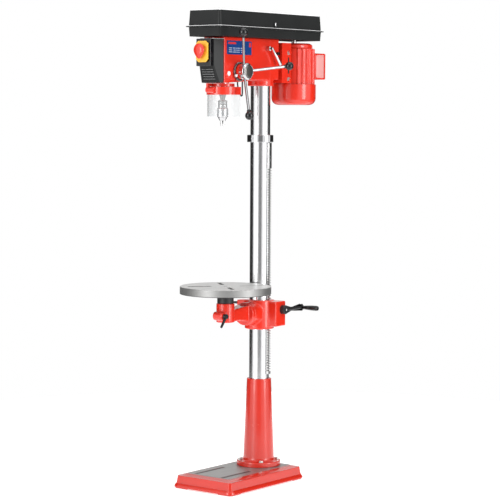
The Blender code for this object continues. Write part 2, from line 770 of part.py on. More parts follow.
def jaw_line(turn):
    """Where a jaw's axis runs: it meets the spindle's axis below the chuck."""
    meet = CHUCK_BOTTOM - JAW_REACH - JAW_START * math.cos(JAW_LEAN)
    out = math.sin(JAW_LEAN)
    lean = Vector((out * math.cos(turn), out * math.sin(turn), math.cos(JAW_LEAN)))
    return Vector((0, SPINDLE_Y, meet)), lean


def chuck_body():
    """The chuck's body: taper socket above, three leaning jaw bores below."""
    socket = CHUCK_TOP - 0.0235
    profile = [(0.0, socket), (0.0075 + GAP, socket), (0.0085 + GAP, CHUCK_TOP), (0.0135, CHUCK_TOP),
               (CHUCK_BODY_RADIUS, CHUCK_TOP - 0.006), (CHUCK_BODY_RADIUS, CHUCK_BOTTOM + 0.008),
               (0.0125, CHUCK_BOTTOM), (0.0085, CHUCK_BOTTOM - 0.002), (0.0, CHUCK_BOTTOM - 0.002)]
    obj = turned("chuck_body", profile, (0, SPINDLE_Y, 0), segments=24)
    for k in range(3):
        meet, lean = jaw_line(2 * math.pi * k / 3 + math.radians(20))
        depth = JAW_START + JAW_LENGTH + JAW_TRAVEL + 0.002
        cut(obj, rod(f"jaw_bore_{k + 1}", meet, meet + lean * depth, JAW_RADIUS + GAP, segments=14,
                     helper=True))
    return finish(obj, chrome())


def chuck_sleeve():
    """The geared sleeve round the chuck's body: turning it runs the jaws in and out."""
    top, bottom = CHUCK_TOP - 0.026, CHUCK_BOTTOM + 0.010
    bore = CHUCK_BODY_RADIUS + RUN
    profile = [(bore, top), (SLEEVE_RADIUS - 0.001, top), (SLEEVE_RADIUS - 0.001, bottom + 0.010),
               (SLEEVE_RADIUS, bottom + 0.009), (SLEEVE_RADIUS, bottom + 0.002),
               (SLEEVE_RADIUS - 0.002, bottom),
               (bore, bottom)]
    obj = turned("chuck_sleeve", profile, (0, SPINDLE_Y, 0), segments=24)
    return finish(obj, chrome())


def chuck_jaws():
    jaws = []
    for k in range(3):
        meet, lean = jaw_line(2 * math.pi * k / 3 + math.radians(20))
        obj = rod(f"chuck_jaw_{k + 1}", meet + lean * JAW_START, meet + lean * (JAW_START + JAW_LENGTH),
                  JAW_RADIUS, segments=12)
        jaws.append(finish(obj, steel()))
    return jaws


# ---------------------------------------------------------------- feed

def feed_shaft():
    """The shaft across the head: pinion in the middle, a bearing on each side, ends for spring and hub."""
    y, z = feed_y(), HUB_Z
    left, right = -HEAD_HALF_WIDTH - 0.0150, HUB_OUTER_X - 0.006
    profile = [(0.0, right), (0.0090, right), (0.0090, 0.046), (0.0165, 0.046), (0.0165, 0.024),
               (0.0100, 0.024), (0.0100, -0.024), (0.0165, -0.024), (0.0165, -0.046), (0.0090, -0.046),
               (0.0090, left), (0.0, left)]
    obj = turned("feed_shaft", profile, (0, y, z), "X", segments=24)
    teeth = gear_outline(FEED_TEETH, RACK_MODULE, (y, z), math.pi, tip=0.85, root=1.15)
    pinion = toothed("feed_pinion", teeth, -0.0080, 0.0080, "X", helper=True)
    join(obj, pinion)
    return finish(obj, steel())


def depth_ring():
    """The graduated ring behind the hub, with its lock screw. It stops the feed at a set depth."""
    inner_x = HEAD_HALF_WIDTH + GAP
    bore = 0.0090 + RUN
    obj = drum("depth_ring", DEPTH_RING_RADIUS, bore, 0.0, DEPTH_RING_WIDTH, (inner_x, feed_y(), HUB_Z), "X")
    join(obj, drum("depth_drum", DRUM_RADIUS, bore, 0.003, HUB_INNER_X - GAP - inner_x,
                   (inner_x, feed_y(), HUB_Z), "X", helper=True))
    place = Vector((inner_x + 0.0034, feed_y(), HUB_Z))
    outward = Vector((0.0, -math.cos(math.radians(8)), -math.sin(math.radians(8))))
    join(obj, rod("depth_lock", place + outward * (DEPTH_RING_RADIUS - 0.004),
                  place + outward * (DEPTH_RING_RADIUS + 0.007), 0.0030, segments=10, helper=True))
    return finish(obj, black_plastic())


def feed_hub():
    """The three-armed hub: a chrome body with a recessed cap on its end."""
    y = feed_y()
    bore = 0.0090 + GAP
    length = HUB_OUTER_X - HUB_INNER_X
    socket = length - 0.006 + GAP
    profile = [(0.0, length), (0.0285, length), (HUB_RADIUS, length - 0.003), (HUB_RADIUS, 0.006),
               (0.0285, 0.0),
               (bore, 0.0), (bore, socket), (0.0, socket)]
    obj = turned("feed_hub", profile, (HUB_INNER_X, y, HUB_Z), "X")
    for k in range(3):
        start, end = arm_ends(k)
        along = (end - start).normalized()
        cut(obj, rod(f"arm_socket_{k + 1}", start - along * 0.004, end, ARM_RADIUS + GAP, segments=14,
                     helper=True))
    return finish(obj, chrome())


def arm_ends(k):
    """An arm runs from inside the hub to its knob, leaning outwards."""
    turn = FIRST_ARM_ANGLE - k * 2 * math.pi / 3
    radial = Vector((0.0, math.cos(turn), math.sin(turn)))
    centre = Vector((0.0, feed_y(), HUB_Z))
    knob = centre + radial * KNOB_CIRCLE + Vector((KNOB_X, 0, 0))
    root = centre + radial * 0.0185 + Vector((HUB_OUTER_X - 0.0165, 0, 0))
    return root, knob


def feed_arms():
    pieces = []
    for k in range(3):
        root, knob = arm_ends(k)
        along = (knob - root).normalized()
        arm = rod(f"feed_arm_{k + 1}", root, knob - along * 0.0060, ARM_RADIUS, segments=14)
        pieces.append(finish(arm, chrome()))
        grip = ball(f"feed_knob_{k + 1}", knob, KNOB_RADIUS)
        join(grip, rod(f"knob_neck_{k + 1}", knob - along * 0.021, knob, 0.0080, segments=16, helper=True))
        cut(grip, rod(f"knob_bore_{k + 1}", knob - along * 0.030, knob - along * 0.0055, ARM_RADIUS + GAP,
                      segments=14, helper=True))
        pieces.append(finish(grip, black_plastic()))
    return pieces


# ---------------------------------------------------------------- guard and its lead

def guard_bracket():
    """The plate under the head that carries the guard's hinge, with the quill free inside it."""
    top = HEAD_FRONT_BOTTOM - GAP
    low = GUARD_TOP + 0.0010
    obj = drum("guard_bracket", 0.0430, QUILL_RADIUS + 0.0015, low, top, (0, SPINDLE_Y, 0), segments=36)
    left, right = KNUCKLE_LEFT, KNUCKLE_LEFT + KNUCKLE_WIDTH
    reach = block("guard_reach", (left, PIVOT_Y - 0.006, low + 0.0002),
                  (right, SPINDLE_Y - QUILL_RADIUS - 0.010, top - 0.0002), helper=True)
    join(obj, reach)
    join(obj, rod("guard_knuckle", (left, PIVOT_Y, PIVOT_Z), (right, PIVOT_Y, PIVOT_Z), PIVOT_RADIUS,
                  segments=20, helper=True))
    join(obj, block("guard_web", (left + 0.0002, PIVOT_Y - 0.0058, PIVOT_Z),
                    (right - 0.0002, PIVOT_Y + 0.0058, top - 0.002), helper=True))
    join(obj, rod("guard_pin", (right - 0.001, PIVOT_Y, PIVOT_Z), (BARREL_RIGHT + 0.001, PIVOT_Y, PIVOT_Z),
                  PIVOT_PIN, segments=12, helper=True))
    return finish(obj, red_paint())


def half_ring(name, outer, inner, low, high, overhang, helper=False):
    """Half a tube round the spindle, open behind, its ends carried back by the overhang."""
    front = arc((0, SPINDLE_Y), outer, 0, -180, 20)
    back = arc((0, SPINDLE_Y), inner, -180, 0, 20)
    points = [(outer, SPINDLE_Y + overhang)] + front + [(-outer, SPINDLE_Y + overhang),
              (-inner, SPINDLE_Y + overhang)] + back + [(inner, SPINDLE_Y + overhang)]
    return outline(name, points, low, high, "Z", helper)


def guard_holder():
    obj = half_ring("guard_holder", GUARD_RADIUS, GUARD_RADIUS - GUARD_WALL, GUARD_LOW, GUARD_TOP,
                    GUARD_SIDE)
    left = KNUCKLE_LEFT + KNUCKLE_WIDTH + GAP
    join(obj, rod("hinge_barrel", (left, PIVOT_Y, PIVOT_Z), (BARREL_RIGHT, PIVOT_Y, PIVOT_Z), PIVOT_RADIUS,
                  segments=20, helper=True))
    cut(obj, rod("hinge_bore", (left - 0.02, PIVOT_Y, PIVOT_Z), (BARREL_RIGHT + 0.02, PIVOT_Y, PIVOT_Z),
                 PIVOT_PIN + RUN, segments=12, helper=True))
    room = block("knuckle_room", (KNUCKLE_LEFT - 0.0005, PIVOT_Y - 0.02, PIVOT_Z - PIVOT_RADIUS - RUN),
                 (left - 0.0002, PIVOT_Y + PIVOT_RADIUS + 0.004, GUARD_TOP + 0.01), helper=True)
    cut(obj, room)
    return finish(obj, red_paint())


def guard_shield():
    inside = GUARD_RADIUS - GUARD_WALL - GAP
    obj = half_ring("guard_shield", inside, inside - SHIELD_WALL, SHIELD_BOTTOM, GUARD_TOP - 0.004,
                    GUARD_SIDE)
    cut(obj, block("hinge_room", (KNUCKLE_LEFT - 0.001, PIVOT_Y - 0.02, PIVOT_Z - PIVOT_RADIUS - 0.002),
                   (BARREL_RIGHT + 0.002, PIVOT_Y + PIVOT_RADIUS + 0.004, GUARD_TOP + 0.01), helper=True))
    return finish(obj, clear_plastic())


def smooth_route(points, spacing):
    """Points read along a Catmull-Rom curve through the given ones."""
    route = []
    padded = [points[0]] + list(points) + [points[-1]]
    for before, start, end, after in zip(padded, padded[1:], padded[2:], padded[3:]):
        before, start, end, after = (Vector(point) for point in (before, start, end, after))
        count = max(1, round((end - start).length / spacing))
        for k in range(count):
            t = k / count
            square = (2 * before - 5 * start + 4 * end - after) * t ** 2
            cube = (3 * start - before - 3 * end + after) * t ** 3
            route.append(0.5 * (2 * start + (end - before) * t + square + cube))
    route.append(Vector(points[-1]))
    return route


def guard_lead():
    """A short lead that hangs in a loop under the head, with both ends in glands in the casting."""
    top = LEAD_SOCKET_TOP - 0.004
    stations = [(x, y, top if z is None else z) for x, y, z in LEAD_STATIONS]
    obj = tube("guard_lead", smooth_route(stations, 2.5 * LEAD_DIAMETER), LEAD_DIAMETER / 2)
    return finish(obj, rubber())


# ---------------------------------------------------------------- belt drive

def pulley_profile(steps, bore, base=PULLEY_BASE):
    """A stepped V pulley's outline: each step is a groove between two rims. Steps run from the bottom up."""
    top = base + STEP_HEIGHT * len(steps) + 0.002
    down = [(bore, top), (steps[-1], top)]
    for k in range(len(steps) - 1, -1, -1):
        low = base + STEP_HEIGHT * k
        radius = steps[k]
        if k < len(steps) - 1:
            down.append((radius, low + STEP_HEIGHT + 0.0005))
        down += [(radius, low + GROOVE_HIGH + 0.0020), (radius - GROOVE_DEPTH, low + GROOVE_HIGH),
                 (radius - GROOVE_DEPTH, low + GROOVE_LOW), (radius, low + GROOVE_LOW - 0.0020)]
        down.append((radius, low + 0.0005 if k else base))
    down.append((bore, base))
    return down


def step_middle(level):
    """The height of a groove's middle."""
    return PULLEY_BASE + STEP_HEIGHT * level + (GROOVE_LOW + GROOVE_HIGH) / 2


def spindle_pulley():
    """The spindle's pulley on its drive sleeve, which turns in the head and slides over the spline."""
    bore = SPINDLE_RADIUS - 0.002 + RUN
    obj = turned("spindle_pulley", pulley_profile(SPINDLE_STEPS, bore), (0, SPINDLE_Y, 0), segments=18)
    sleeve = drum("drive_sleeve", 0.0150, bore, HEAD_TOP - 0.030, PULLEY_BASE + 0.002, (0, SPINDLE_Y, 0),
                  segments=24, helper=True)
    join(obj, sleeve)
    return finish(obj, ground_iron())


def idler_post():
    """The pin on the head that the middle pulley turns on."""
    high = PULLEY_BASE + STEP_HEIGHT * len(IDLER_STEPS) + 0.004
    profile = [(0.0, high + 0.004), (0.0120, high + 0.004), (0.0120, high), (0.0080, high),
               (0.0080, PULLEY_BASE - 0.001), (0.0140, PULLEY_BASE - 0.001), (0.0140, HEAD_TOP + GAP),
               (0.0, HEAD_TOP + GAP)]
    obj = turned("idler_post", profile, (0, IDLER_Y, 0), segments=20)
    return finish(obj, steel())


def idler_pulley():
    obj = turned("idler_pulley", pulley_profile(IDLER_STEPS, 0.0080 + RUN), (0, IDLER_Y, 0), segments=18)
    return finish(obj, ground_iron())


def motor_rotor():
    """The motor's shaft with its pulley above and its fan below, which turn as one piece."""
    obj = turned("motor_rotor", pulley_profile(MOTOR_STEPS, 0.0), (0, MOTOR_Y, 0), segments=18)
    low, high = MOTOR_FAN_BOTTOM + 0.008, MOTOR_FAN_TOP - 0.010
    join(obj, rod("motor_shaft", (0, MOTOR_Y, low), (0, MOTOR_Y, PULLEY_BASE + 0.004), ROTOR_SHAFT_RADIUS,
                  segments=20, helper=True))
    join(obj, rod("fan_hub", (0, MOTOR_Y, low), (0, MOTOR_Y, high), 0.018, segments=16, helper=True))
    for k in range(6):
        turn = Matrix.Rotation(math.radians(60 * k), 4, "Z")
        blade = block(f"fan_blade_{k}", (0.010, -0.001, low + 0.004), (0.068, 0.001, high - 0.006),
                      helper=True)
        middle = turn @ Vector((0.039, 0.0, 0.0))
        blade.location = Vector((middle.x, MOTOR_Y + middle.y, blade.location.z))
        blade.rotation_euler = (0, 0, math.radians(60 * k))
        join(obj, blade)
    return finish(obj, ground_iron())


def belt(name, first_y, first_radius, second_y, second_radius, level):
    """A flat-sided loop round two grooves, tangent to both."""
    low = step_middle(level) - BELT_HEIGHT / 2
    high = low + BELT_HEIGHT
    lean = math.degrees(math.asin((first_radius - second_radius) / (second_y - first_y)))

    def loop(extra):
        front = arc((0, first_y), first_radius + extra, 360 + lean, 180 - lean, 16)
        rear = arc((0, second_y), second_radius + extra, 180 - lean, lean, 16)
        return front + rear

    obj = outline(name, loop(BELT_THICKNESS), low, high)
    cut(obj, outline(name + "_inside", loop(0.0), low - 0.01, high + 0.01, helper=True))
    return finish(obj, rubber())


def belts():
    lower, upper = 0, 3
    grip = GROOVE_DEPTH - GAP
    front = belt("drive_belt_front", SPINDLE_Y, SPINDLE_STEPS[lower] - grip, IDLER_Y,
                 IDLER_STEPS[lower] - grip, lower)
    rear = belt("drive_belt_rear", IDLER_Y, IDLER_STEPS[upper] - grip, MOTOR_Y,
                MOTOR_STEPS[upper] - grip, upper)
    return front, rear


def cover_outline(inset):
    corner = max(0.004, COVER_CHAMFER - inset * 0.6)
    return rectangle(COVER_HALF_WIDTH - inset, COVER_FRONT + inset, COVER_REAR - inset, corner)


def belt_tray():
    """The lower half of the cover: a tray on the head, open above, slotted for the motor's shaft."""
    below = TRAY_INSET + TRAY_DRAFT
    obj = frustum("belt_tray", cover_outline(below), cover_outline(TRAY_INSET), TRAY_BOTTOM + GAP,
                  LIP_Z - GAP)
    cut(obj, frustum("tray_inside", cover_outline(below + COVER_WALL),
                     cover_outline(TRAY_INSET + COVER_WALL), TRAY_BOTTOM + COVER_WALL,
                     LIP_Z + 0.0005, helper=True))
    for name, y, radius in (("spindle", SPINDLE_Y, 0.022), ("idler", IDLER_Y, 0.018)):
        cut(obj, rod(f"tray_{name}_hole", (0, y, TRAY_BOTTOM - 0.01), (0, y, TRAY_BOTTOM + 0.02), radius,
                     helper=True))
    cut(obj, block("tray_motor_slot", (-0.020, MOTOR_Y - 0.040, TRAY_BOTTOM - 0.01),
                   (0.020, MOTOR_Y + 0.040, TRAY_BOTTOM + 0.02), helper=True))
    for y in HINGE_PLACES:
        x = -COVER_HALF_WIDTH - LIP_OUT + 0.001
        z = LIP_Z - 0.006
        join(obj, rod(f"tray_knuckle_{y}", (x, y - 0.012, z), (x, y + 0.012, z), 0.0038, segments=12,
                      helper=True))
        join(obj, block(f"tray_hinge_leaf_{y}", (x, y - 0.0118, z - 0.0030),
                        (-COVER_HALF_WIDTH + TRAY_INSET + 0.0025, y + 0.0118, z), helper=True))
    return finish(obj, black_plastic())


def belt_cover():
    """The lid: walls leaning in to a top with a raised panel, and a lip that overhangs the tray."""
    obj = frustum("belt_cover", cover_outline(0.0), cover_outline(COVER_DRAFT), LIP_Z + GAP,
                  COVER_TOP - 0.003)
    join(obj, frustum("lid_lip", cover_outline(-LIP_OUT), cover_outline(-LIP_OUT + 0.002), LIP_Z + GAP,
                      LIP_Z + LIP_THICKNESS, helper=True))
    join(obj, frustum("lid_panel", cover_outline(COVER_DRAFT + 0.016), cover_outline(COVER_DRAFT + 0.020),
                      COVER_TOP - 0.008, COVER_TOP, helper=True))
    cut(obj, frustum("lid_inside", cover_outline(COVER_WALL), cover_outline(COVER_DRAFT + COVER_WALL),
                     LIP_Z - 0.001, COVER_TOP - 0.003 - COVER_WALL, helper=True))
    return finish(obj, black_plastic())


def cover_knob():
    x = COVER_HALF_WIDTH - COVER_DRAFT * 0.27 + GAP
    obj = turned("cover_knob", [(0.0, 0.009), (0.004, 0.009), (0.0065, 0.007), (0.0065, 0.003), (0.004, 0.0),
                                (0.0, 0.0)], (x, -0.014, 1.6830), "X", segments=16)
    return finish(obj, steel())


# ---------------------------------------------------------------- motor

def motor_plate():
    """The channel that carries the motor, with the two bars that slide in the head."""
    web = block("motor_plate", (-PLATE_HALF_WIDTH, PLATE_FRONT, PLATE_BOTTOM),
                (PLATE_HALF_WIDTH, PLATE_REAR, PLATE_TOP))
    inner = PLATE_HALF_WIDTH - PLATE_WALL
    cut(web, block("plate_channel", (-inner, PLATE_FRONT + PLATE_WALL, PLATE_BOTTOM - 0.01),
                   (inner, PLATE_REAR + 0.01, PLATE_TOP + 0.01), helper=True))
    for side, (x, z) in enumerate(slide_bar_places()):
        join(web, rod(f"slide_bar_{side}", (x, SLIDE_BAR_START, z), (x, PLATE_FRONT + 0.004, z),
                      SLIDE_BAR_RADIUS, segments=20, helper=True))
    for side in (-1, 1):
        for z in MOTOR_BOLT_HEIGHTS:
            face = side * PLATE_HALF_WIDTH
            join(web, rod(f"motor_bolt_{side}_{z}", (face - side * 0.002, 0.1050, z),
                          (face + side * 0.006, 0.1050, z), 0.0080, segments=6, helper=True))
    return finish(web, red_paint())


def motor_body():
    """The stator's housing with its cooling ribs and feet, and the bell over its upper end."""
    low = MOTOR_FAN_TOP + GAP
    profile = [(0.0, BELL_TOP), (BELL_RADIUS - 0.004, BELL_TOP), (BELL_RADIUS, BELL_TOP - 0.004),
               (BELL_RADIUS, STATOR_TOP), (STATOR_RADIUS - 0.006, STATOR_TOP),
               (STATOR_RADIUS - 0.003, STATOR_TOP - 0.006), (STATOR_RADIUS - 0.003, low), (0.0, low)]
    obj = turned("motor_body", profile, (0, MOTOR_Y, 0), segments=32)
    cut(obj, rod("shaft_room", (0, MOTOR_Y, low - 0.01), (0, MOTOR_Y, BELL_TOP + 0.01),
                 ROTOR_SHAFT_RADIUS + RUN, segments=20, helper=True))
    for turn in (math.radians(degrees) for degrees in RIB_ANGLES):
        out = Vector((math.cos(turn), math.sin(turn), 0.0))
        centre = Vector((0, MOTOR_Y, 0)) + out * (STATOR_RADIUS - 0.004)
        rib = block("rib", (-0.006, -0.0015, low + 0.003), (0.006, 0.0015, STATOR_TOP - 0.010), helper=True)
        rib.location = Vector((centre.x, centre.y, rib.location.z))
        rib.rotation_euler = (0, 0, turn)
        join(obj, rib)
    for side in (-1, 1):
        inner = side * (PLATE_HALF_WIDTH - PLATE_WALL - GAP)
        low_x, high_x = sorted((inner, inner - side * 0.012))
        join(obj, block(f"motor_foot_{side}", (low_x, 0.0900, PLATE_BOTTOM + 0.005),
                        (high_x, MOTOR_Y, PLATE_TOP - 0.020), helper=True))
    return finish(obj, red_paint())


def fan_cover():
    profile = [(0.010, MOTOR_FAN_BOTTOM), (MOTOR_RADIUS - 0.008, MOTOR_FAN_BOTTOM),
               (MOTOR_RADIUS - 0.002, MOTOR_FAN_BOTTOM + 0.004), (MOTOR_RADIUS, MOTOR_FAN_BOTTOM + 0.011),
               (MOTOR_RADIUS, MOTOR_FAN_TOP), (MOTOR_RADIUS - 0.002, MOTOR_FAN_TOP),
               (MOTOR_RADIUS - 0.002, MOTOR_FAN_BOTTOM + 0.011),
               (MOTOR_RADIUS - 0.008, MOTOR_FAN_BOTTOM + 0.002),
               (0.010, MOTOR_FAN_BOTTOM + 0.002)]
    obj = turned("fan_cover", profile[::-1], (0, MOTOR_Y, 0), segments=32)
    return finish(obj, red_paint(), 45)


def terminal_box():
    front = MOTOR_Y + STATOR_RADIUS - 0.003 + 0.004
    obj = block("terminal_box", (-TERMINAL_HALF_WIDTH, front, TERMINAL_BOTTOM),
                (TERMINAL_HALF_WIDTH, TERMINAL_REAR, TERMINAL_TOP))
    rounded(obj, 0.004)
    return finish(obj, red_paint())


def tension_lever():
    """The cranked lever on the head's side that moves the motor to slacken or tighten the belts."""
    x = HEAD_HALF_WIDTH + GAP
    y, z = LEVER_PIVOT
    obj = turned("tension_lever", [(0.0, 0.019), (0.0055, 0.019), (0.0085, 0.016), (0.0085, 0.0), (0.0, 0.0)],
                 (x, y, z), "X", segments=18)
    elbow = Vector((x + 0.0145, y + 0.0130, z + 0.0020))
    tip = Vector((x + 0.0200, y + 0.0572, z - 0.0577))
    join(obj, rod("lever_neck", (x + 0.0125, y, z), elbow, 0.0035, segments=12, helper=True))
    join(obj, rod("lever_arm", elbow + (elbow - tip).normalized() * 0.002, tip, 0.0036, 0.0056, segments=12,
                  helper=True))
    return finish(obj, chrome())


def motor_lock_knob():
    x = HEAD_HALF_WIDTH + GAP
    y, z = LOCK_PLACE
    obj = turned("motor_lock_knob", [(0.0, 0.0125), (0.0055, 0.0125), (0.0065, 0.0110), (0.0065, 0.0040),
                                     (0.0040, 0.0040), (0.0040, 0.0), (0.0, 0.0)], (x, y, z), "X",
                 segments=12)
    return finish(obj, black_plastic())


# ---------------------------------------------------------------- switch

def switch_box():
    """The no-volt switch on the fascia, hollow in front for its two buttons."""
    low, high = SWITCH_BOTTOM, SWITCH_TOP
    obj = block("switch_box", (-SWITCH_HALF_WIDTH, SWITCH_FRONT, low),
                (SWITCH_HALF_WIDTH, FASCIA_FRONT - GAP, high))
    half = BUTTON_HALF + RUN
    for x, z in (BUTTON_PLACES["start_button"], BUTTON_PLACES["stop_button"]):
        cut(obj, block(f"button_well_{z}", (x - half, SWITCH_FRONT - 0.01, z - half),
                       (x + half, BUTTON_BACK - RUN, z + half), helper=True))
    for side in (-1, 1):
        inner = side * (FLAP_HALF_WIDTH - 0.008)
        low_x, high_x = sorted((inner, inner + side * 0.004))
        join(obj, block(f"hinge_ear_{side}", (low_x, SWITCH_FRONT - 0.0065, HINGE_Z - 0.0025),
                        (high_x, SWITCH_FRONT + 0.002, HINGE_Z + 0.0025), helper=True))
    return finish(obj, black_plastic())


def switch_buttons():
    green_plastic = material("green_plastic", (0.03, 0.45, 0.10), 0.35)
    looks = {"start_button": green_plastic, "stop_button": red_plastic()}
    made = []
    for name, (x, z) in BUTTON_PLACES.items():
        obj = block(name, (x - BUTTON_HALF, SWITCH_FRONT - 0.0012, z - BUTTON_HALF),
                    (x + BUTTON_HALF, BUTTON_BACK - 0.0045, z + BUTTON_HALF))
        made.append(finish(obj, looks[name]))
    return made


def red_plastic():
    return material("red_plastic", (0.85, 0.06, 0.045), 0.35)


def stop_flap():
    """The hinged flap over the buttons with its mushroom head: pushing it stops the machine."""
    back = SWITCH_FRONT - 0.0045
    obj = block("stop_flap", (-FLAP_HALF_WIDTH, FLAP_FRONT, FLAP_BOTTOM), (FLAP_HALF_WIDTH, back, FLAP_TOP))
    for side in (-1, 1):
        notch = side * (FLAP_HALF_WIDTH - 0.006)
        low_x, high_x = sorted((notch - 0.0035, notch + 0.0035))
        cut(obj, block(f"ear_room_{side}", (low_x, back - 0.0035, HINGE_Z - 0.006),
                       (high_x, back + 0.01, FLAP_TOP + 0.01), helper=True))
    z = MUSHROOM_Z
    profile = [(0.0, 0.0), (0.0120, 0.0), (0.0140, -0.0080), (MUSHROOM_RADIUS, -0.0105),
               (MUSHROOM_RADIUS, -0.0135), (0.0160, -0.0195), (0.009, -0.0222), (0.0, -0.0230)]
    head = turned("mushroom", profile, (MUSHROOM_X, FLAP_FRONT + 0.001, z), "Y", helper=True)
    join(obj, head)
    return finish(obj, yellow_plastic())


# ---------------------------------------------------------------- table and bracket

def rack():
    """The toothed bar on the column that the bracket climbs: plain at the top, toothed below."""
    pitch_line = RACK_BACK + RACK_DEPTH - LIFT_MODULE
    side = rack_outline(RACK_BACK, pitch_line, RACK_BOTTOM, RACK_TOP, RACK_BOTTOM + 0.006, RACK_TEETH_TOP,
                        LIFT_MODULE, pinion_z())
    obj = toothed("rack", side, -RACK_HALF_WIDTH, RACK_HALF_WIDTH, "Y")
    return finish(obj, ground_iron())


def pinion_z():
    return (GEARBOX_BOTTOM + GEARBOX_TOP) / 2 - 0.014


def pinion_x():
    return RACK_BACK + RACK_DEPTH - LIFT_MODULE + LIFT_TEETH * LIFT_MODULE / 2


def table_bracket():
    """The casting that clamps round the column, with its gearbox, tilt flange and clamp ears."""
    bore = COLUMN_RADIUS + RUN
    obj = drum("table_bracket", BARREL_RADIUS, bore, BARREL_BOTTOM, BARREL_TOP, (0, 0, 0), segments=40)
    join(obj, block("gearbox", (bore + 0.0040, GEARBOX_FRONT, GEARBOX_BOTTOM),
                    (GEARBOX_OUT, GEARBOX_REAR, GEARBOX_TOP), helper=True))
    flange_rear = -COLUMN_RADIUS - 0.004
    join(obj, rod("tilt_flange", (0, TILT_Y, TILT_Z), (0, flange_rear, TILT_Z), TILT_RADIUS, segments=32,
                  helper=True))
    cut(obj, rod("tilt_bore", (0, TILT_Y - 0.01, TILT_Z), (0, TILT_Y + 0.022, TILT_Z), 0.0100, segments=20,
                 helper=True))
    join(obj, block("clamp_ears", (EAR_X - 0.0160, -EAR_DEPTH, LEVER_Z - 0.016),
                    (-bore - 0.0080, EAR_DEPTH, LEVER_Z + 0.016), helper=True))
    cut(obj, block("clamp_slit", (EAR_X - 0.0200, -0.0015, BARREL_BOTTOM - 0.01),
                   (-COLUMN_RADIUS + 0.004, 0.0015, BARREL_TOP + 0.01), helper=True))
    room = RACK_BACK + RACK_DEPTH + RUN
    cut(obj, block("rack_room", (RACK_BACK - 0.003, -RACK_HALF_WIDTH - RUN, BARREL_BOTTOM - 0.01),
                   (room, RACK_HALF_WIDTH + RUN, BARREL_TOP + 0.01), helper=True))
    x, z = pinion_x(), pinion_z()
    radius = LIFT_TEETH * LIFT_MODULE / 2 + LIFT_MODULE + RUN
    cut(obj, rod("pinion_room", (x, GEARBOX_FRONT + 0.004, z), (x, GEARBOX_REAR + 0.01, z), radius,
                 segments=24, helper=True))
    cut(obj, rod("crank_bore", (x + 0.004, CRANK_Y, CRANK_Z), (GEARBOX_OUT + 0.01, CRANK_Y, CRANK_Z),
                 CRANK_SHAFT_RADIUS + RUN, segments=16, helper=True))
    return finish(obj, red_paint())


def lift_pinion():
    """The pinion in the gearbox that climbs the rack."""
    x, z = pinion_x(), pinion_z()
    obj = toothed("lift_pinion", gear_outline(LIFT_TEETH, LIFT_MODULE, (x, z), math.pi, tip=0.85, root=1.15),
                  -RACK_HALF_WIDTH, GEARBOX_REAR - 0.010, "Y")
    return finish(obj, steel())


def crank():
    """The crank: a shaft into the gearbox, a hub, and a tapered arm that lies back."""
    face = GEARBOX_OUT + GAP
    profile = [(0.0, 0.019), (0.0140, 0.019), (0.0165, 0.016), (0.0165, 0.0), (CRANK_SHAFT_RADIUS, 0.0),
               (CRANK_SHAFT_RADIUS, -0.0150), (0.0, -0.0150)]
    obj = turned("crank", profile, (face, CRANK_Y, CRANK_Z), "X", segments=24)
    far = CRANK_Y + CRANK_LENGTH
    join(obj, rod("crank_arm", (face + 0.010, CRANK_Y + 0.006, CRANK_Z), (face + 0.014, far, CRANK_Z),
                  0.0085, 0.0060, segments=16, helper=True))
    join(obj, rod("crank_eye", (face + 0.006, far, CRANK_Z), (face + GRIP_OFFSET - GAP, far, CRANK_Z),
                  0.0090, segments=16, helper=True))
    join(obj, rod("crank_pin", (face + 0.018, far, CRANK_Z), (face + GRIP_OFFSET + 0.064, far, CRANK_Z),
                  CRANK_PIN_RADIUS, segments=12, helper=True))
    return finish(obj, material("black_iron", (0.025, 0.025, 0.026), 0.45, 0.4))


def crank_grip():
    face = GEARBOX_OUT + GAP + GRIP_OFFSET
    bore = CRANK_PIN_RADIUS + GAP
    profile = [(bore, 0.066), (0.0080, 0.066), (0.0095, 0.060), (0.0095, 0.040), (0.0075, 0.012),
               (0.0065, 0.004), (0.0065, 0.0), (bore, 0.0)]
    obj = turned("crank_grip", profile, (face, CRANK_Y + CRANK_LENGTH, CRANK_Z), "X", segments=20)
    return finish(obj, black_plastic())


def column_lock_lever():
    """The lever that clamps the bracket: a bolt through the ears, its hub behind them."""
    rear = EAR_DEPTH + GAP
    profile = [(0.0, 0.016), (0.0100, 0.016), (0.0110, 0.013), (0.0110, 0.0), (0.0, 0.0)]
    obj = turned("column_lock_lever", profile, (EAR_X, rear, LEVER_Z), "Y", segments=20)
    join(obj, rod("lock_arm", (EAR_X, rear + 0.008, LEVER_Z), (EAR_X - 0.073, rear + 0.010, LEVER_Z - 0.002),
                  0.0078, 0.0040, segments=14, helper=True))
    return finish(obj, black_plastic())


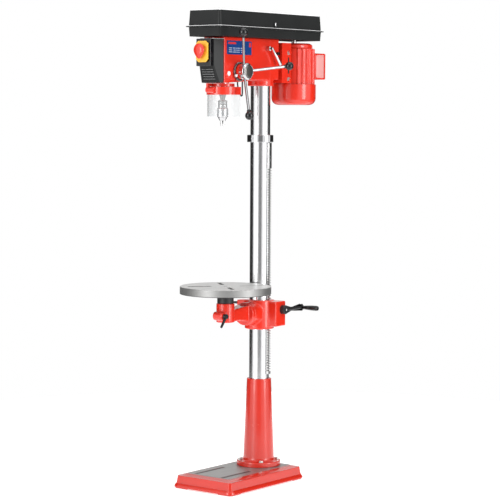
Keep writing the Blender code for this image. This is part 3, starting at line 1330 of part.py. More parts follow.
def table_arm():
    """The arm that tilts on the bracket and holds the table's stem in a split clamp."""
    front_face = TILT_Y - GAP
    obj = rod("table_arm", (0, front_face - 0.016, TILT_Z), (0, front_face, TILT_Z), TILT_RADIUS, segments=32)
    root = front_face - 0.012
    length = [(TABLE_Y + 0.010, CLAMP_BOTTOM + 0.001), (TABLE_Y + 0.010, CLAMP_TOP - 0.026),
              (root, TILT_Z + TILT_RADIUS - 0.008), (root, TILT_Z - TILT_RADIUS + 0.018),
              (TABLE_Y + 0.075, TILT_Z - 0.020), (TABLE_Y + 0.055, CLAMP_BOTTOM + 0.002)]
    join(obj, outline("arm_beam", length, -0.024, 0.024, "X", helper=True))
    join(obj, rod("post_clamp", (0, TABLE_Y, CLAMP_BOTTOM), (0, TABLE_Y, CLAMP_TOP), CLAMP_RADIUS,
                  segments=32,
                  helper=True))
    ear_y = clamp_ear_y()
    join(obj, rod("clamp_ear", (-CLAMP_EAR_HALF, ear_y, EAR_Z), (CLAMP_EAR_HALF, ear_y, EAR_Z), 0.0160,
                  segments=24, helper=True))
    cut(obj, rod("stem_bore", (0, TABLE_Y, CLAMP_BOTTOM - 0.01), (0, TABLE_Y, CLAMP_TOP + 0.01),
                 STEM_RADIUS + RUN, segments=32, helper=True))
    cut(obj, block("ear_slit", (-0.0015, ear_y - 0.020, CLAMP_BOTTOM - 0.01),
                   (0.0015, TABLE_Y - 0.008, CLAMP_TOP + 0.01), helper=True))
    return finish(obj, red_paint())


def clamp_ear_y():
    return TABLE_Y - CLAMP_RADIUS - 0.006


def clamp_lever():
    """The lever that tightens the split clamp round the table's stem."""
    ear_y = clamp_ear_y()
    face = CLAMP_EAR_HALF + GAP
    obj = turned("clamp_lever", [(0.0, 0.015), (0.0075, 0.015), (0.0090, 0.012), (0.0090, 0.0), (0.0, 0.0)],
                 (face, ear_y, EAR_Z), "X", segments=20)
    join(obj, rod("lever_handle", (face + 0.009, ear_y, EAR_Z),
                  (face + 0.014, ear_y - 0.0380, EAR_Z - 0.0350),
                  0.0055, 0.0042, segments=12, helper=True))
    return finish(obj, black_plastic())


def table():
    """The round table: machined top with four diagonal slots and a centre hole, rim, and the stem below."""
    low = TABLE_TOP - TABLE_THICKNESS
    web = TABLE_TOP - TABLE_WEB
    profile = [(0.0, TABLE_TOP), (TABLE_RADIUS - 0.0015, TABLE_TOP), (TABLE_RADIUS, TABLE_TOP - 0.0015),
               (TABLE_RADIUS, low + 0.001), (TABLE_RADIUS - 0.001, low), (TABLE_RADIUS - 0.012, low),
               (TABLE_RADIUS - 0.015, web), (POST_RADIUS, web), (POST_RADIUS, CLAMP_TOP + 2 * GAP),
               (STEM_RADIUS, CLAMP_TOP + 2 * GAP), (STEM_RADIUS, CLAMP_BOTTOM + 0.004),
               (0.0, CLAMP_BOTTOM + 0.004)]
    obj = turned("table", profile, (0, TABLE_Y, 0), segments=48)
    cut(obj, rod("table_hole", (0, TABLE_Y, CLAMP_BOTTOM - 0.01), (0, TABLE_Y, TABLE_TOP + 0.01),
                 TABLE_HOLE_RADIUS, segments=20, helper=True))
    for k in range(4):
        slot = block(f"table_slot_{k}", (-TABLE_SLOT_LENGTH / 2, -TABLE_SLOT_WIDTH / 2, web - 0.01),
                     (TABLE_SLOT_LENGTH / 2, TABLE_SLOT_WIDTH / 2, TABLE_TOP + 0.01), helper=True)
        turn = math.radians(45 + 90 * k)
        slot.location = (TABLE_SLOT_CIRCLE * math.cos(turn), TABLE_Y + TABLE_SLOT_CIRCLE * math.sin(turn),
                         slot.location.z)
        slot.rotation_euler = (0, 0, turn)
        cut(obj, slot)
    return finish(obj, ground_iron())


# ---------------------------------------------------------------- assembly

def main():
    clear_scene()
    base_casting()
    pedestal()
    flange_bolts()
    column()
    rack_collar()
    head_casting()
    front_fascia()
    spring_cap()
    return_spring()
    guard_bracket()
    guard_lead()
    switch_box()
    belt_tray()
    idler_post()
    belts()
    quill_axis = axis_empty("quill_feed_axis", (0, SPINDLE_Y, QUILL_BOTTOM))
    carry(quill_axis, quill())
    spindle_axis = axis_empty("spindle_axis", (0, SPINDLE_Y, CHUCK_TOP), quill_axis)
    carry(spindle_axis, spindle(), chuck_body(), *chuck_jaws())
    sleeve_axis = axis_empty("sleeve_axis", (0, SPINDLE_Y, CHUCK_BOTTOM), spindle_axis)
    carry(sleeve_axis, chuck_sleeve())
    feed_axis = axis_empty("feed_axis", (HEAD_HALF_WIDTH, feed_y(), HUB_Z))
    carry(feed_axis, feed_shaft(), feed_hub(), *feed_arms())
    carry(axis_empty("depth_axis", (HEAD_HALF_WIDTH, feed_y(), HUB_Z)), depth_ring())
    carry(axis_empty("guard_axis", (0, PIVOT_Y, PIVOT_Z)), guard_holder(), guard_shield())
    cover_axis = axis_empty("cover_axis", (-COVER_HALF_WIDTH - LIP_OUT + 0.001, 0, LIP_Z - 0.006))
    carry(cover_axis, belt_cover(), cover_knob())
    carry(axis_empty("spindle_pulley_axis", (0, SPINDLE_Y, PULLEY_BASE)), spindle_pulley())
    carry(axis_empty("idler_axis", (0, IDLER_Y, PULLEY_BASE)), idler_pulley())
    slide_axis = axis_empty("motor_slide_axis", (0, PLATE_FRONT, PLATE_BOTTOM))
    carry(slide_axis, motor_plate(), motor_body(), fan_cover(), terminal_box())
    carry(axis_empty("motor_axis", (0, MOTOR_Y, BELL_TOP), slide_axis), motor_rotor())
    carry(axis_empty("tension_axis", (HEAD_HALF_WIDTH, *LEVER_PIVOT)), tension_lever())
    carry(axis_empty("motor_lock_axis", (HEAD_HALF_WIDTH, *LOCK_PLACE)), motor_lock_knob())
    carry(axis_empty("flap_axis", (0, SWITCH_FRONT - 0.0045, HINGE_Z)), stop_flap())
    switch_buttons()
    swing = axis_empty("swing_axis", (0, 0, 0))
    carry(swing, rack())
    lift = axis_empty("lift_axis", (0, 0, BARREL_BOTTOM), swing)
    carry(lift, table_bracket())
    carry(axis_empty("pinion_axis", (pinion_x(), 0, pinion_z()), lift), lift_pinion())
    crank_axis = axis_empty("crank_axis", (GEARBOX_OUT, CRANK_Y, CRANK_Z), lift)
    carry(crank_axis, crank())
    carry(axis_empty("grip_axis", (GEARBOX_OUT, CRANK_Y + CRANK_LENGTH, CRANK_Z), crank_axis), crank_grip())
    carry(axis_empty("column_lock_axis", (EAR_X, EAR_DEPTH, LEVER_Z), lift), column_lock_lever())
    tilt = axis_empty("tilt_axis", (0, TILT_Y, TILT_Z), lift)
    carry(tilt, table_arm())
    clamp_axis = axis_empty("clamp_lever_axis", (CLAMP_EAR_HALF, clamp_ear_y(), EAR_Z), tilt)
    carry(clamp_axis, clamp_lever())
    carry(axis_empty("table_axis", (0, TABLE_Y, TABLE_TOP), tilt), table())
    swing.rotation_euler = (0, 0, SWING)


main()
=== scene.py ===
import json
import math

import bmesh
import bpy
import numpy as np
from bpy.props import FloatProperty, FloatVectorProperty, PointerProperty
from bpy.types import Operator, Panel, PropertyGroup
from mathutils import Matrix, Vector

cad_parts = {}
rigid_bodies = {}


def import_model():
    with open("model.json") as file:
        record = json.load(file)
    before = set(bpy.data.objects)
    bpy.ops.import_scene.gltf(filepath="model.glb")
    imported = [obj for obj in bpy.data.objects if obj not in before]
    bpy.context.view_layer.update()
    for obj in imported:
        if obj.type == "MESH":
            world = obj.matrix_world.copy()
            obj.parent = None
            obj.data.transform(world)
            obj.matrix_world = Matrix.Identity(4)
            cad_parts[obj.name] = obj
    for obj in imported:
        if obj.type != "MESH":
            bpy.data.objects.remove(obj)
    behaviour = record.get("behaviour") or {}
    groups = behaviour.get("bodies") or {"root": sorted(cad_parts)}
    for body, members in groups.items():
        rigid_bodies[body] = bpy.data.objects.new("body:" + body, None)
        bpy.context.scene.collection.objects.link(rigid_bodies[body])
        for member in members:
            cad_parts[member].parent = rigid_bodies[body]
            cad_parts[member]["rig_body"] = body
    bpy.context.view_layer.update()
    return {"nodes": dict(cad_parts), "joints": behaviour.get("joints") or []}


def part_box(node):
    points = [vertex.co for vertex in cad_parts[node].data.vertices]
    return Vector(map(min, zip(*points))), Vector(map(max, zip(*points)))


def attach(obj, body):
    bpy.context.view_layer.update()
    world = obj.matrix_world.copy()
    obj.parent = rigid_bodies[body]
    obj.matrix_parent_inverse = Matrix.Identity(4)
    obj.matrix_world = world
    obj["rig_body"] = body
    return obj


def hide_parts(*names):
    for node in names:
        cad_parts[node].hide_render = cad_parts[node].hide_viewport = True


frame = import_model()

bl_info = {
    "name": "Floor drill press finish",
    "version": (1, 0, 0),
    "blender": (4, 5, 0),
    "location": "3D View > Sidebar > Drill press",
    "description": "Builds a floor-standing drill press's surfaces round its packed model",
    "category": "Object",
}

MERGE = 0.000002
CAD_MERGE = 0.00001
FLAT_ANGLE = math.radians(1.5)
NORMAL_WEIGHT = 80
MUSHROOM_RADIUS = 0.0232
MUSHROOM_STEM = 0.012
MUSHROOM_RISE = 0.0047
SMOOTH_ANGLE = math.radians(38)
FLOOR_RADIUS = 2.2
FLOOR_GLOW = 0.5
AIM_HEIGHT = 1.25
GLOOM = 0.03
WALL_EDGE = 3.0
BACK_WALL = 0.80
# First and last angle round from the camera in degrees, and brightness.
WALLS = ((-82.0, -20.0, 1.25), (23.0, 95.0, 1.15), (-20.0, 23.0, 0.26))
# Name, angle round from the camera, height, distance, width, tallness, watts.
SOFT_BOXES = (
    ("left_box", -44, 1.6, 4.5, 1.3, 3.2, 75),
    ("right_box", 56, 1.6, 4.5, 1.3, 3.2, 85),
    ("overhead", 10, 5.0, 0.8, 3.0, 3.0, 45),
)
RIBS_ROUND = 180 / 7
RIB_HEIGHT = 0.0040
LIP_CORNER = 0.0124
FASCIA_FOOT_Y = -0.2950
FASCIA_LEAN = 0.0230
ROD_PLANE = 0.077
ROD_RADIUS = 0.0048
KNOB_RADIUS = 0.0155
LOCK_SCREW_LEAN = math.radians(205)
MOUNT_CHEEK = (0.0520, 0.1020)
MOUNT_BOLT_HEIGHTS = (1.4862, 1.5842)
MOUNT_SLOT_HEIGHTS = (1.5180, 1.5560)
BASE_SLOT_X = 0.061
BASE_SLOT_HALF = 0.0069
BASE_SLOT_FRONT = -0.2969
BASE_SLOT_REAR = -0.1301
X_AXIS, Y_AXIS, Z_AXIS = np.eye(3)


# ---------------------------------------------------------------- places taken from the frame


def corners(node):
    """The lowest and highest corner of a CAD node, as arrays."""
    low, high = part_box(node)
    return np.array(low), np.array(high)


def middle(node):
    low, high = corners(node)
    return (low + high) / 2


def joint(name):
    """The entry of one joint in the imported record."""
    return next(entry for entry in frame["joints"] if entry["name"] == name)


# ---------------------------------------------------------------- surfaces worked out with numpy


def unit(vectors):
    """Vectors divided by their own lengths."""
    vectors = np.asarray(vectors, float)
    return vectors / np.maximum(np.linalg.norm(vectors, axis=-1, keepdims=True), 1e-12)


def axes_round(axis):
    """Rows of a turned frame: two directions across the axis, then the axis."""
    along = unit(axis)
    hint = Z_AXIS if abs(along[2]) < 0.9 else X_AXIS
    across = unit(np.cross(hint, along))
    return np.array([across, np.cross(along, across), along])


def eased(points, reach, closed=False, steps=5):
    """Corners of a line eased: each corner P becomes the quadratic curve
    (1-t)^2 A + 2t(1-t) P + t^2 B, where A and B lie on its two sides, `reach` away
    from it or nearly half of the shorter side."""
    corner = np.asarray(points, float)
    back, ahead = np.roll(corner, 1, axis=0) - corner, np.roll(corner, -1, axis=0) - corner
    sides = np.minimum(np.linalg.norm(back, axis=1), np.linalg.norm(ahead, axis=1))
    away = np.minimum(np.broadcast_to(reach, sides.shape), sides * 0.49)[:, None]
    start, end = corner + unit(back) * away, corner + unit(ahead) * away
    t = np.linspace(0, 1, steps)[None, :, None]
    curve = (1 - t) ** 2 * start[:, None] + 2 * t * (1 - t) * corner[:, None] + t**2 * end[:, None]
    width = corner.shape[1]
    if closed:
        return curve.reshape(-1, width)
    return np.vstack([corner[:1], curve[1:-1].reshape(-1, width), corner[-1:]])


def skin(rings, ends="fill"):
    """A surface over closed rings of points. `ends` says how it closes: fill puts a
    face on the first and last ring, join runs from the last ring back to the first."""
    rows, columns = rings.shape[:2]
    index = np.arange(rows * columns).reshape(rows, columns)
    if ends == "join":
        index = np.vstack([index, index[:1]])
    beside = np.roll(index, -1, axis=1)
    faces = np.stack([index[:-1], beside[:-1], beside[1:], index[1:]], axis=-1)
    faces = faces.reshape(-1, 4).tolist()
    if ends == "fill":
        faces += [index[0, ::-1].tolist(), index[-1].tolist()]
    return rings.reshape(-1, 3), faces


def turned(profile, centre, axis, steps=48, ends="fill"):
    """A profile of (radius, height) pairs turned round an axis: every point is
    centre + radius (across cos a + beside sin a) + axis height."""
    profile = np.asarray(profile, float)
    across, beside, along = axes_round(axis)
    angle = np.linspace(0, 2 * np.pi, steps, endpoint=False)[None, :, None]
    radius, height = profile[:, 0, None, None], profile[:, 1, None, None]
    rings = centre + radius * (across * np.cos(angle) + beside * np.sin(angle)) + along * height
    return skin(rings, ends)


def inset(outline, depth):
    """A closed flat outline moved inwards by `depth`, each point along the mean of
    the normals of its two sides, stretched so that the sides stay parallel."""
    ahead = unit(np.roll(outline, -1, axis=0) - outline)
    back = unit(outline - np.roll(outline, 1, axis=0))
    normal = unit(np.stack([-(ahead + back)[:, 1], (ahead + back)[:, 0]], axis=1))
    along_side = np.stack([-ahead[:, 1], ahead[:, 0]], axis=1)
    stretch = np.clip((normal * along_side).sum(axis=1), 0.5, 1)[:, None]
    after = np.roll(outline, -1, axis=0)
    area = (outline[:, 0] * after[:, 1] - after[:, 0] * outline[:, 1]).sum()
    return outline + normal * depth / stretch * np.sign(area)


def prism(outline, low, high, edge, frame_rows=None, steps=4):
    """A flat outline given thickness, with both rims rounded: ring k is inset by
    edge (1 - sin a) at height edge (1 - cos a) from its face."""
    outline = np.asarray(outline, float)
    rows = np.eye(3) if frame_rows is None else frame_rows
    quarter = np.linspace(0, np.pi / 2, steps)
    depth = np.concatenate([edge * (1 - np.sin(quarter)), edge * (1 - np.sin(quarter[::-1]))])
    height = np.concatenate(
        [low + edge * (1 - np.cos(quarter)), high - edge * (1 - np.cos(quarter[::-1]))]
    )
    rings = []
    for inward, level in zip(depth, height):
        flat = inset(outline, inward)
        rings.append(flat[:, :1] * rows[0] + flat[:, 1:] * rows[1] + level * rows[2])
    return skin(np.array(rings))


def block(low, high, edge, corner=None, axis=2):
    """A box with rounded corners and rims, drawn across `axis`."""
    low, high = np.array(low, float), np.array(high, float)
    a, b = [i for i in range(3) if i != axis]
    size = high - low
    reach = edge if corner is None else corner
    outline = [[low[a], low[b]], [high[a], low[b]], [high[a], high[b]], [low[a], high[b]]]
    limit = 0.45 * size.min()
    return prism(
        eased(outline, min(reach, 0.45 * min(size[a], size[b])), closed=True),
        low[axis],
        high[axis],
        min(edge, limit),
        np.eye(3)[[a, b, axis]],
    )


def hexagon(centre, axis, width, low, high, crown=0.0006):
    """A bolt head: a six-sided prism whose upper rim is turned away at an angle."""
    across, beside, along = axes_round(axis)
    corner = np.radians(np.arange(6) * 60 + 30)
    sides = np.stack([np.cos(corner), np.sin(corner)], axis=1) * width / math.sqrt(3)
    outline = eased(sides, width * 0.04, closed=True, steps=3)
    points, faces = prism(outline, low, high, crown, np.array([across, beside, along]), 3)
    return points + centre, faces


def washer(centre, axis, outer, inner, low, high, steps=40):
    """A flat ring with eased rims."""
    edge = min(high - low, outer - inner) * 0.25
    profile = eased([(inner, low), (outer, low), (outer, high), (inner, high)], edge, True, 4)
    return turned(profile, centre, axis, steps, "join")


def screw(centre, axis, radius, height):
    """A pan-head screw with a cross recess cut as a shallow dish in the crown."""
    dome = [
        (radius, 0),
        (radius, height * 0.45),
        (radius * 0.72, height),
        (radius * 0.30, height),
        (radius * 0.22, height * 0.55),
        (0, height * 0.55),
    ]
    return turned([(0, 0)] + eased(dome, radius * 0.18).tolist(), centre, axis, 24)


# ---------------------------------------------------------------- objects


def stand_in(name, mesh, finish, body, nodes=()):
    """Links a finished mesh as one piece that rides on a body and stands for nodes."""
    piece = bpy.data.objects.new(name, mesh)
    bpy.context.scene.collection.objects.link(piece)
    mesh.materials.clear()
    mesh.materials.append(finish)
    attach(piece, body)
    if nodes:
        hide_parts(*nodes)
    return piece


def tidied(mesh, angle=SMOOTH_ANGLE):
    """Merges doubled points, turns every face outwards and shades by angle."""
    work = bmesh.new()
    work.from_mesh(mesh)
    bmesh.ops.remove_doubles(work, verts=work.verts, dist=MERGE)
    bmesh.ops.dissolve_degenerate(work, edges=work.edges, dist=MERGE)
    bmesh.ops.recalc_face_normals(work, faces=work.faces)
    work.to_mesh(mesh)
    work.free()
    mesh.shade_smooth()
    mesh.set_sharp_from_angle(angle=angle)
    return mesh


def weight_normals(piece):
    """Keeps flat faces flat next to their rounded rims."""
    modifier = piece.modifiers.new("Flat faces", "WEIGHTED_NORMAL")
    modifier.keep_sharp = True
    modifier.weight = NORMAL_WEIGHT
    return piece


def made(name, shapes, finish, body, nodes=(), angle=SMOOTH_ANGLE):
    """One piece out of several surfaces, each given as points and faces."""
    points, faces, offset = [], [], 0
    for shape_points, shape_faces in shapes:
        points.append(shape_points)
        faces += [[i + offset for i in face] for face in shape_faces]
        offset += len(shape_points)
    mesh = bpy.data.meshes.new(name)
    mesh.from_pydata(np.vstack(points).tolist(), [], faces)
    piece = stand_in(name, tidied(mesh, angle), finish, body, nodes)
    return weight_normals(piece)


def merged_copy(node, name):
    """A CAD node's mesh with its loose triangles joined and its flat faces whole."""
    mesh = frame["nodes"][node].data.copy()
    mesh.name = name
    work = bmesh.new()
    work.from_mesh(mesh)
    bmesh.ops.remove_doubles(work, verts=work.verts, dist=CAD_MERGE)
    bmesh.ops.dissolve_limit(work, angle_limit=FLAT_ANGLE, verts=work.verts, edges=work.edges)
    work.to_mesh(mesh)
    work.free()
    for layer in [a.name for a in mesh.attributes if a.name in ("sharp_edge", "sharp_face")]:
        mesh.attributes.remove(mesh.attributes[layer])
    return mesh


def refined(node, name, finish, edge=0.0008, segments=3, angle=30):
    """A machined or moulded piece: the CAD solid with its rims rounded."""
    mesh = merged_copy(node, name)
    mesh.shade_smooth()
    mesh.set_sharp_from_angle(angle=math.radians(angle))
    body = frame["nodes"][node]["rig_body"]
    piece = stand_in(name, mesh, finish, body, [node])
    rounding = piece.modifiers.new("Rounded rims", "BEVEL")
    rounding.width = edge
    rounding.segments = segments
    rounding.limit_method = "ANGLE"
    rounding.angle_limit = math.radians(angle)
    rounding.use_clamp_overlap = True
    rounding.miter_outer = "MITER_ARC"
    return weight_normals(piece)


def cast(node, name, finish, voxel=0.0022, passes=7):
    """A sand casting: the CAD solid remeshed in small cells and relaxed, so that
    every edge and inside corner gets the soft radius of a foundry pattern."""
    body = frame["nodes"][node]["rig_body"]
    source = bpy.data.objects.new(name, merged_copy(node, name))
    bpy.context.scene.collection.objects.link(source)
    cells = source.modifiers.new("Cells", "REMESH")
    cells.mode = "VOXEL"
    cells.voxel_size = voxel
    cells.use_smooth_shade = True
    relaxed = source.modifiers.new("Relaxed", "SMOOTH")
    relaxed.factor = 0.5
    relaxed.iterations = passes
    graph = bpy.context.evaluated_depsgraph_get()
    mesh = bpy.data.meshes.new_from_object(source.evaluated_get(graph), depsgraph=graph)
    bpy.data.objects.remove(source)
    mesh.name = name
    mesh.shade_smooth()
    return stand_in(name, mesh, finish, body, [node])


# ---------------------------------------------------------------- finishes


class Value:
    """One number inside a material, so that shader maths reads as arithmetic."""

    def __init__(self, finish, socket):
        self.finish, self.socket = finish, socket

    def __add__(self, other):
        return self.finish.maths("ADD", self, other)

    def __sub__(self, other):
        return self.finish.maths("SUBTRACT", self, other)

    def __rsub__(self, other):
        return self.finish.maths("SUBTRACT", other, self)

    def __mul__(self, other):
        return self.finish.maths("MULTIPLY", self, other)

    def __truediv__(self, other):
        return self.finish.maths("DIVIDE", self, other)

    __radd__, __rmul__ = __add__, __mul__


class Finish:
    """A material or a world while it is written: one method adds every node."""

    def __init__(self, owner):
        owner.use_nodes = True
        self.owner, self.tree = owner, owner.node_tree
        self.tree.nodes.clear()

    def node(self, kind, settings, sockets):
        made_node = self.tree.nodes.new(kind)
        for setting, value in settings.items():
            if setting == "stops":
                ramp = made_node.color_ramp
                ramp.elements[0].position, ramp.elements[0].color = value[0]
                ramp.elements[1].position, ramp.elements[1].color = value[-1]
                for position, colour in value[1:-1]:
                    ramp.elements.new(position).color = colour
            else:
                setattr(made_node, setting, value)
        for socket, value in sockets.items():
            entry = made_node.inputs[socket]
            if isinstance(value, Value):
                self.tree.links.new(value.socket, entry)
            else:
                entry.default_value = value
        return made_node

    def out(self, made_node, socket=0):
        return Value(self, made_node.outputs[socket])

    def maths(self, operation, *terms):
        sockets = dict(enumerate(terms))
        return self.out(self.node("ShaderNodeMath", {"operation": operation}, sockets))

    def place(self, stretch=(1, 1, 1), shift=(0, 0, 0), turn=(0, 0, 0)):
        """Object coordinates, moved, turned and stretched for a pattern."""
        spot = self.out(self.node("ShaderNodeTexCoord", {}, {}), "Object")
        return self.out(
            self.node(
                "ShaderNodeMapping",
                {"vector_type": "POINT"},
                {"Vector": spot, "Location": shift, "Rotation": turn, "Scale": stretch},
            )
        )

    def along(self, axis, spot=None):
        """One coordinate of a place, in metres."""
        spot = spot or self.out(self.node("ShaderNodeTexCoord", {}, {}), "Object")
        return self.out(self.node("ShaderNodeSeparateXYZ", {}, {0: spot}), axis)

    def noise(self, scale, detail=2.0, rough=0.5, spot=None):
        return self.out(
            self.node(
                "ShaderNodeTexNoise",
                {},
                {
                    "Vector": spot or self.place(), "Scale": scale,
                    "Detail": detail, "Roughness": rough,
                },
            )
        )

    def cells(self, scale, spot=None):
        return self.out(
            self.node("ShaderNodeTexVoronoi", {}, {"Vector": spot or self.place(), "Scale": scale})
        )

    def step(self, value, start, stop):
        """0 below start, 1 above stop, smooth between."""
        return self.out(
            self.node(
                "ShaderNodeMapRange",
                {"interpolation_type": "SMOOTHSTEP"},
                {0: value, 1: start, 2: stop, 3: 0.0, 4: 1.0},
            )
        )

    def band(self, value, low, high, soft):
        """1 between low and high, falling to 0 over `soft` on each side."""
        return self.step(value, low - soft, low) * (1 - self.step(value, high, high + soft))

    def mixed(self, amount, low, high):
        """A colour between two colours."""
        return self.out(
            self.node(
                "ShaderNodeMix",
                {"data_type": "RGBA"},
                {0: amount, 6: opaque(low), 7: opaque(high)},
            ),
            2,
        )

    def bump(self, height, distance, strength=1.0):
        return self.out(
            self.node(
                "ShaderNodeBump", {}, {"Strength": strength, "Distance": distance, "Height": height}
            )
        )

    def surface(self, sockets):
        shader = self.node("ShaderNodeBsdfPrincipled", {}, sockets)
        self.node("ShaderNodeOutputMaterial", {}, {0: self.out(shader)})
        return self.owner


def opaque(colour):
    """A colour of three parts with alpha added; a linked colour is left as it is."""
    return colour if isinstance(colour, Value) else (*tuple(colour)[:3], 1.0)


def scaled(colour, share):
    return tuple(part * share for part in tuple(colour)[:3])


FINISHES = {}


def finish(name, write, *details):
    """The material of that name, written the first time that a piece asks for it."""
    if name not in FINISHES:
        FINISHES[name] = write(Finish(bpy.data.materials.new(name)), *details)
    return FINISHES[name]


def write_enamel(f, colour, lumps):
    """Gloss enamel: a slow drift in depth of colour, the orange peel of sprayed
    paint, and under it the skin of the casting at `lumps` metres high."""
    drift = f.noise(7.0, 3.0, 0.6)
    peel = f.noise(650.0, 2.0, 0.5)
    grit = f.noise(210.0, 4.0, 0.6)
    dust = f.step(f.noise(34.0, 5.0, 0.7), 0.56, 0.78)
    base = f.mixed(drift, scaled(colour, 0.86), scaled(colour, 1.08))
    return f.surface(
        {
            "Base Color": base,
            "Roughness": 0.20 + peel * 0.06 + dust * 0.08,
            "Normal": f.bump(peel * 0.25 + grit * 0.75, lumps),
            "Coat Weight": 0.42 - dust * 0.2,
            "Coat Roughness": 0.05,
            "Specular IOR Level": 0.5,
        }
    )


def enamel():
    return finish("gloss_red_enamel", write_enamel, colours().enamel, 0.00006)


def cast_enamel():
    return finish("cast_red_enamel", write_enamel, colours().enamel, 0.00028)


def write_moulding(f, colour, grain, height, roughness, coat):
    """Moulded plastic: a fine spark-eroded grain, a slight sheen that varies where
    hands have polished it, and a faint drift in colour."""
    spark = f.noise(grain, 3.0, 0.65)
    rubbed = f.noise(11.0, 3.0, 0.5)
    return f.surface(
        {
            "Base Color": f.mixed(rubbed, scaled(colour, 0.82), scaled(colour, 1.18)),
            "Roughness": roughness - 0.05 + spark * 0.06 + rubbed * 0.06,
            "Normal": f.bump(spark, height),
            "Coat Weight": coat,
            "Coat Roughness": 0.08,
        }
    )


def write_pressed_black(f, colour):
    """Black powder coat on pressed sheet: almost no shine face on and a fine orange peel.
    Rims where the surface turns upwards carry a painted highlight: they are painted near white and
    made glossier."""
    peel = f.noise(700.0, 2.0, 0.5)
    rubbed = f.noise(9.0, 3.0, 0.5)
    facing = f.along(2, f.out(f.node("ShaderNodeNewGeometry", {}, {}), "Normal"))
    # painted highlight: rims that turn upwards are painted near white, standing in for the light
    # they reflect
    rim = f.band(facing, 0.25, 0.95, 0.05) * (0.80 + rubbed * 0.20)
    base = f.mixed(rubbed, scaled(colour, 0.75), scaled(colour, 1.25))
    return f.surface(
        {
            "Base Color": f.mixed(rim, base, (0.97, 0.97, 0.98)),
            "Roughness": 0.34 + peel * 0.08 - rim * 0.18,
            "Normal": f.bump(peel, 0.00003),
            "Specular IOR Level": 0.22,
        }
    )


def satin_black():
    return finish("satin_black_cover", write_pressed_black, colours().cover)


def gloss_black():
    return finish("gloss_black_plastic", write_moulding, colours().knob, 700.0, 0.00001, 0.12, 0.08)


# painted shade: the black of the blocks in the slots of the base and the motor mount
def painted_shade_black():
    return finish(
        "grained_black_plastic", write_moulding, colours().knob, 1100.0, 0.00008, 0.42, 0.0
    )


def yellow_plastic():
    return finish("yellow_plastic", write_moulding, colours().flap, 900.0, 0.00003, 0.35, 0.1)


def red_plastic():
    return finish("red_plastic", write_moulding, colours().mushroom, 900.0, 0.00002, 0.22, 0.4)


def green_plastic():
    return finish("green_plastic", write_moulding, (0.03, 0.42, 0.10), 900.0, 0.00002, 0.3, 0.2)


def white_plastic():
    return finish("white_plastic", write_moulding, (0.82, 0.83, 0.84), 900.0, 0.00002, 0.3, 0.2)


def write_rubber(f, colour):
    """Rubber: dull, with a powdery bloom and small moulded pores."""
    pores = f.cells(900.0)
    bloom = f.step(f.noise(60.0, 4.0, 0.6), 0.45, 0.75)
    return f.surface(
        {
            "Base Color": f.mixed(bloom, colour, scaled(colour, 2.2)),
            "Roughness": 0.62 + bloom * 0.2,
            "Normal": f.bump(pores, 0.00004),
        }
    )


def rubber():
    return finish("black_rubber", write_rubber, (0.018, 0.018, 0.019))


def write_black_iron(f, colour):
    """Black-oxide steel: blue-black, faintly mottled, bright where it is worn."""
    mottle = f.noise(55.0, 5.0, 0.65)
    worn = f.step(mottle, 0.62, 0.8)
    return f.surface(
        {
            "Base Color": f.mixed(worn, colour, scaled(colour, 3.0)),
            "Roughness": 0.32 + mottle * 0.18,
            "Metallic": 0.35 + worn * 0.5,
            "Normal": f.bump(f.noise(320.0, 3.0), 0.00006),
        }
    )


def black_iron():
    return finish("black_oxide_steel", write_black_iron, (0.022, 0.022, 0.024))


def write_plated(f, colour, roughness, scratches):
    """Plated steel: hairline scratches and faint finger marks in the polish."""
    hairs = f.noise(160.0, 6.0, 0.75, f.place((1, 1, 12)))
    marks = f.step(f.noise(26.0, 3.0, 0.55), 0.5, 0.75)
    return f.surface(
        {
            "Base Color": f.mixed(marks, colour, scaled(colour, 0.93)),
            "Metallic": 1.0,
            "Roughness": roughness + hairs * scratches + marks * 0.04,
            "Normal": f.bump(hairs, 0.000006),
        }
    )


def chrome():
    return finish("polished_chrome", write_plated, (0.58, 0.58, 0.59), 0.06, 0.06)


# painted shade: turned steel painted darker than the bright steel, standing in for the dark
# surroundings it reflects
def shaded_dark_steel():
    return finish("dark_turned_steel", write_plated, (0.20, 0.19, 0.18), 0.24, 0.16)


# painted shade: the rods' chrome is painted darker than the hub's, standing in for the dark
# surroundings they reflect
def shaded_rod_chrome():
    return finish("chromed_rod", write_plated, (0.34, 0.34, 0.35), 0.10, 0.08)


def zinc():
    return finish("zinc_plated_steel", write_plated, (0.62, 0.62, 0.60), 0.26, 0.14)


def bright_steel():
    return finish("bright_turned_steel", write_plated, (0.66, 0.66, 0.66), 0.18, 0.12)


def write_ground_tube(f, colour):
    """A ground tube: fine rings left by the wheel, wider bands of slightly duller
    metal, and a few short rub marks where the table clamp has slid."""
    rings = f.noise(2600.0, 3.0, 0.7, f.place((0.01, 0.01, 1)))
    wide = f.noise(30.0, 3.0, 0.5, f.place((0.05, 0.05, 1)))
    rubs = f.step(f.noise(18.0, 5.0, 0.7, f.place((6, 6, 0.4))), 0.6, 0.8)
    return f.surface(
        {
            "Base Color": f.mixed(rubs, colour, scaled(colour, 0.86)),
            "Metallic": 1.0,
            "Roughness": 0.13 + rings * 0.10 + wide * 0.05 + rubs * 0.06,
            "Normal": f.bump(rings, 0.000008),
        }
    )


def ground_tube():
    return finish("ground_column_steel", write_ground_tube, (0.70, 0.70, 0.71))


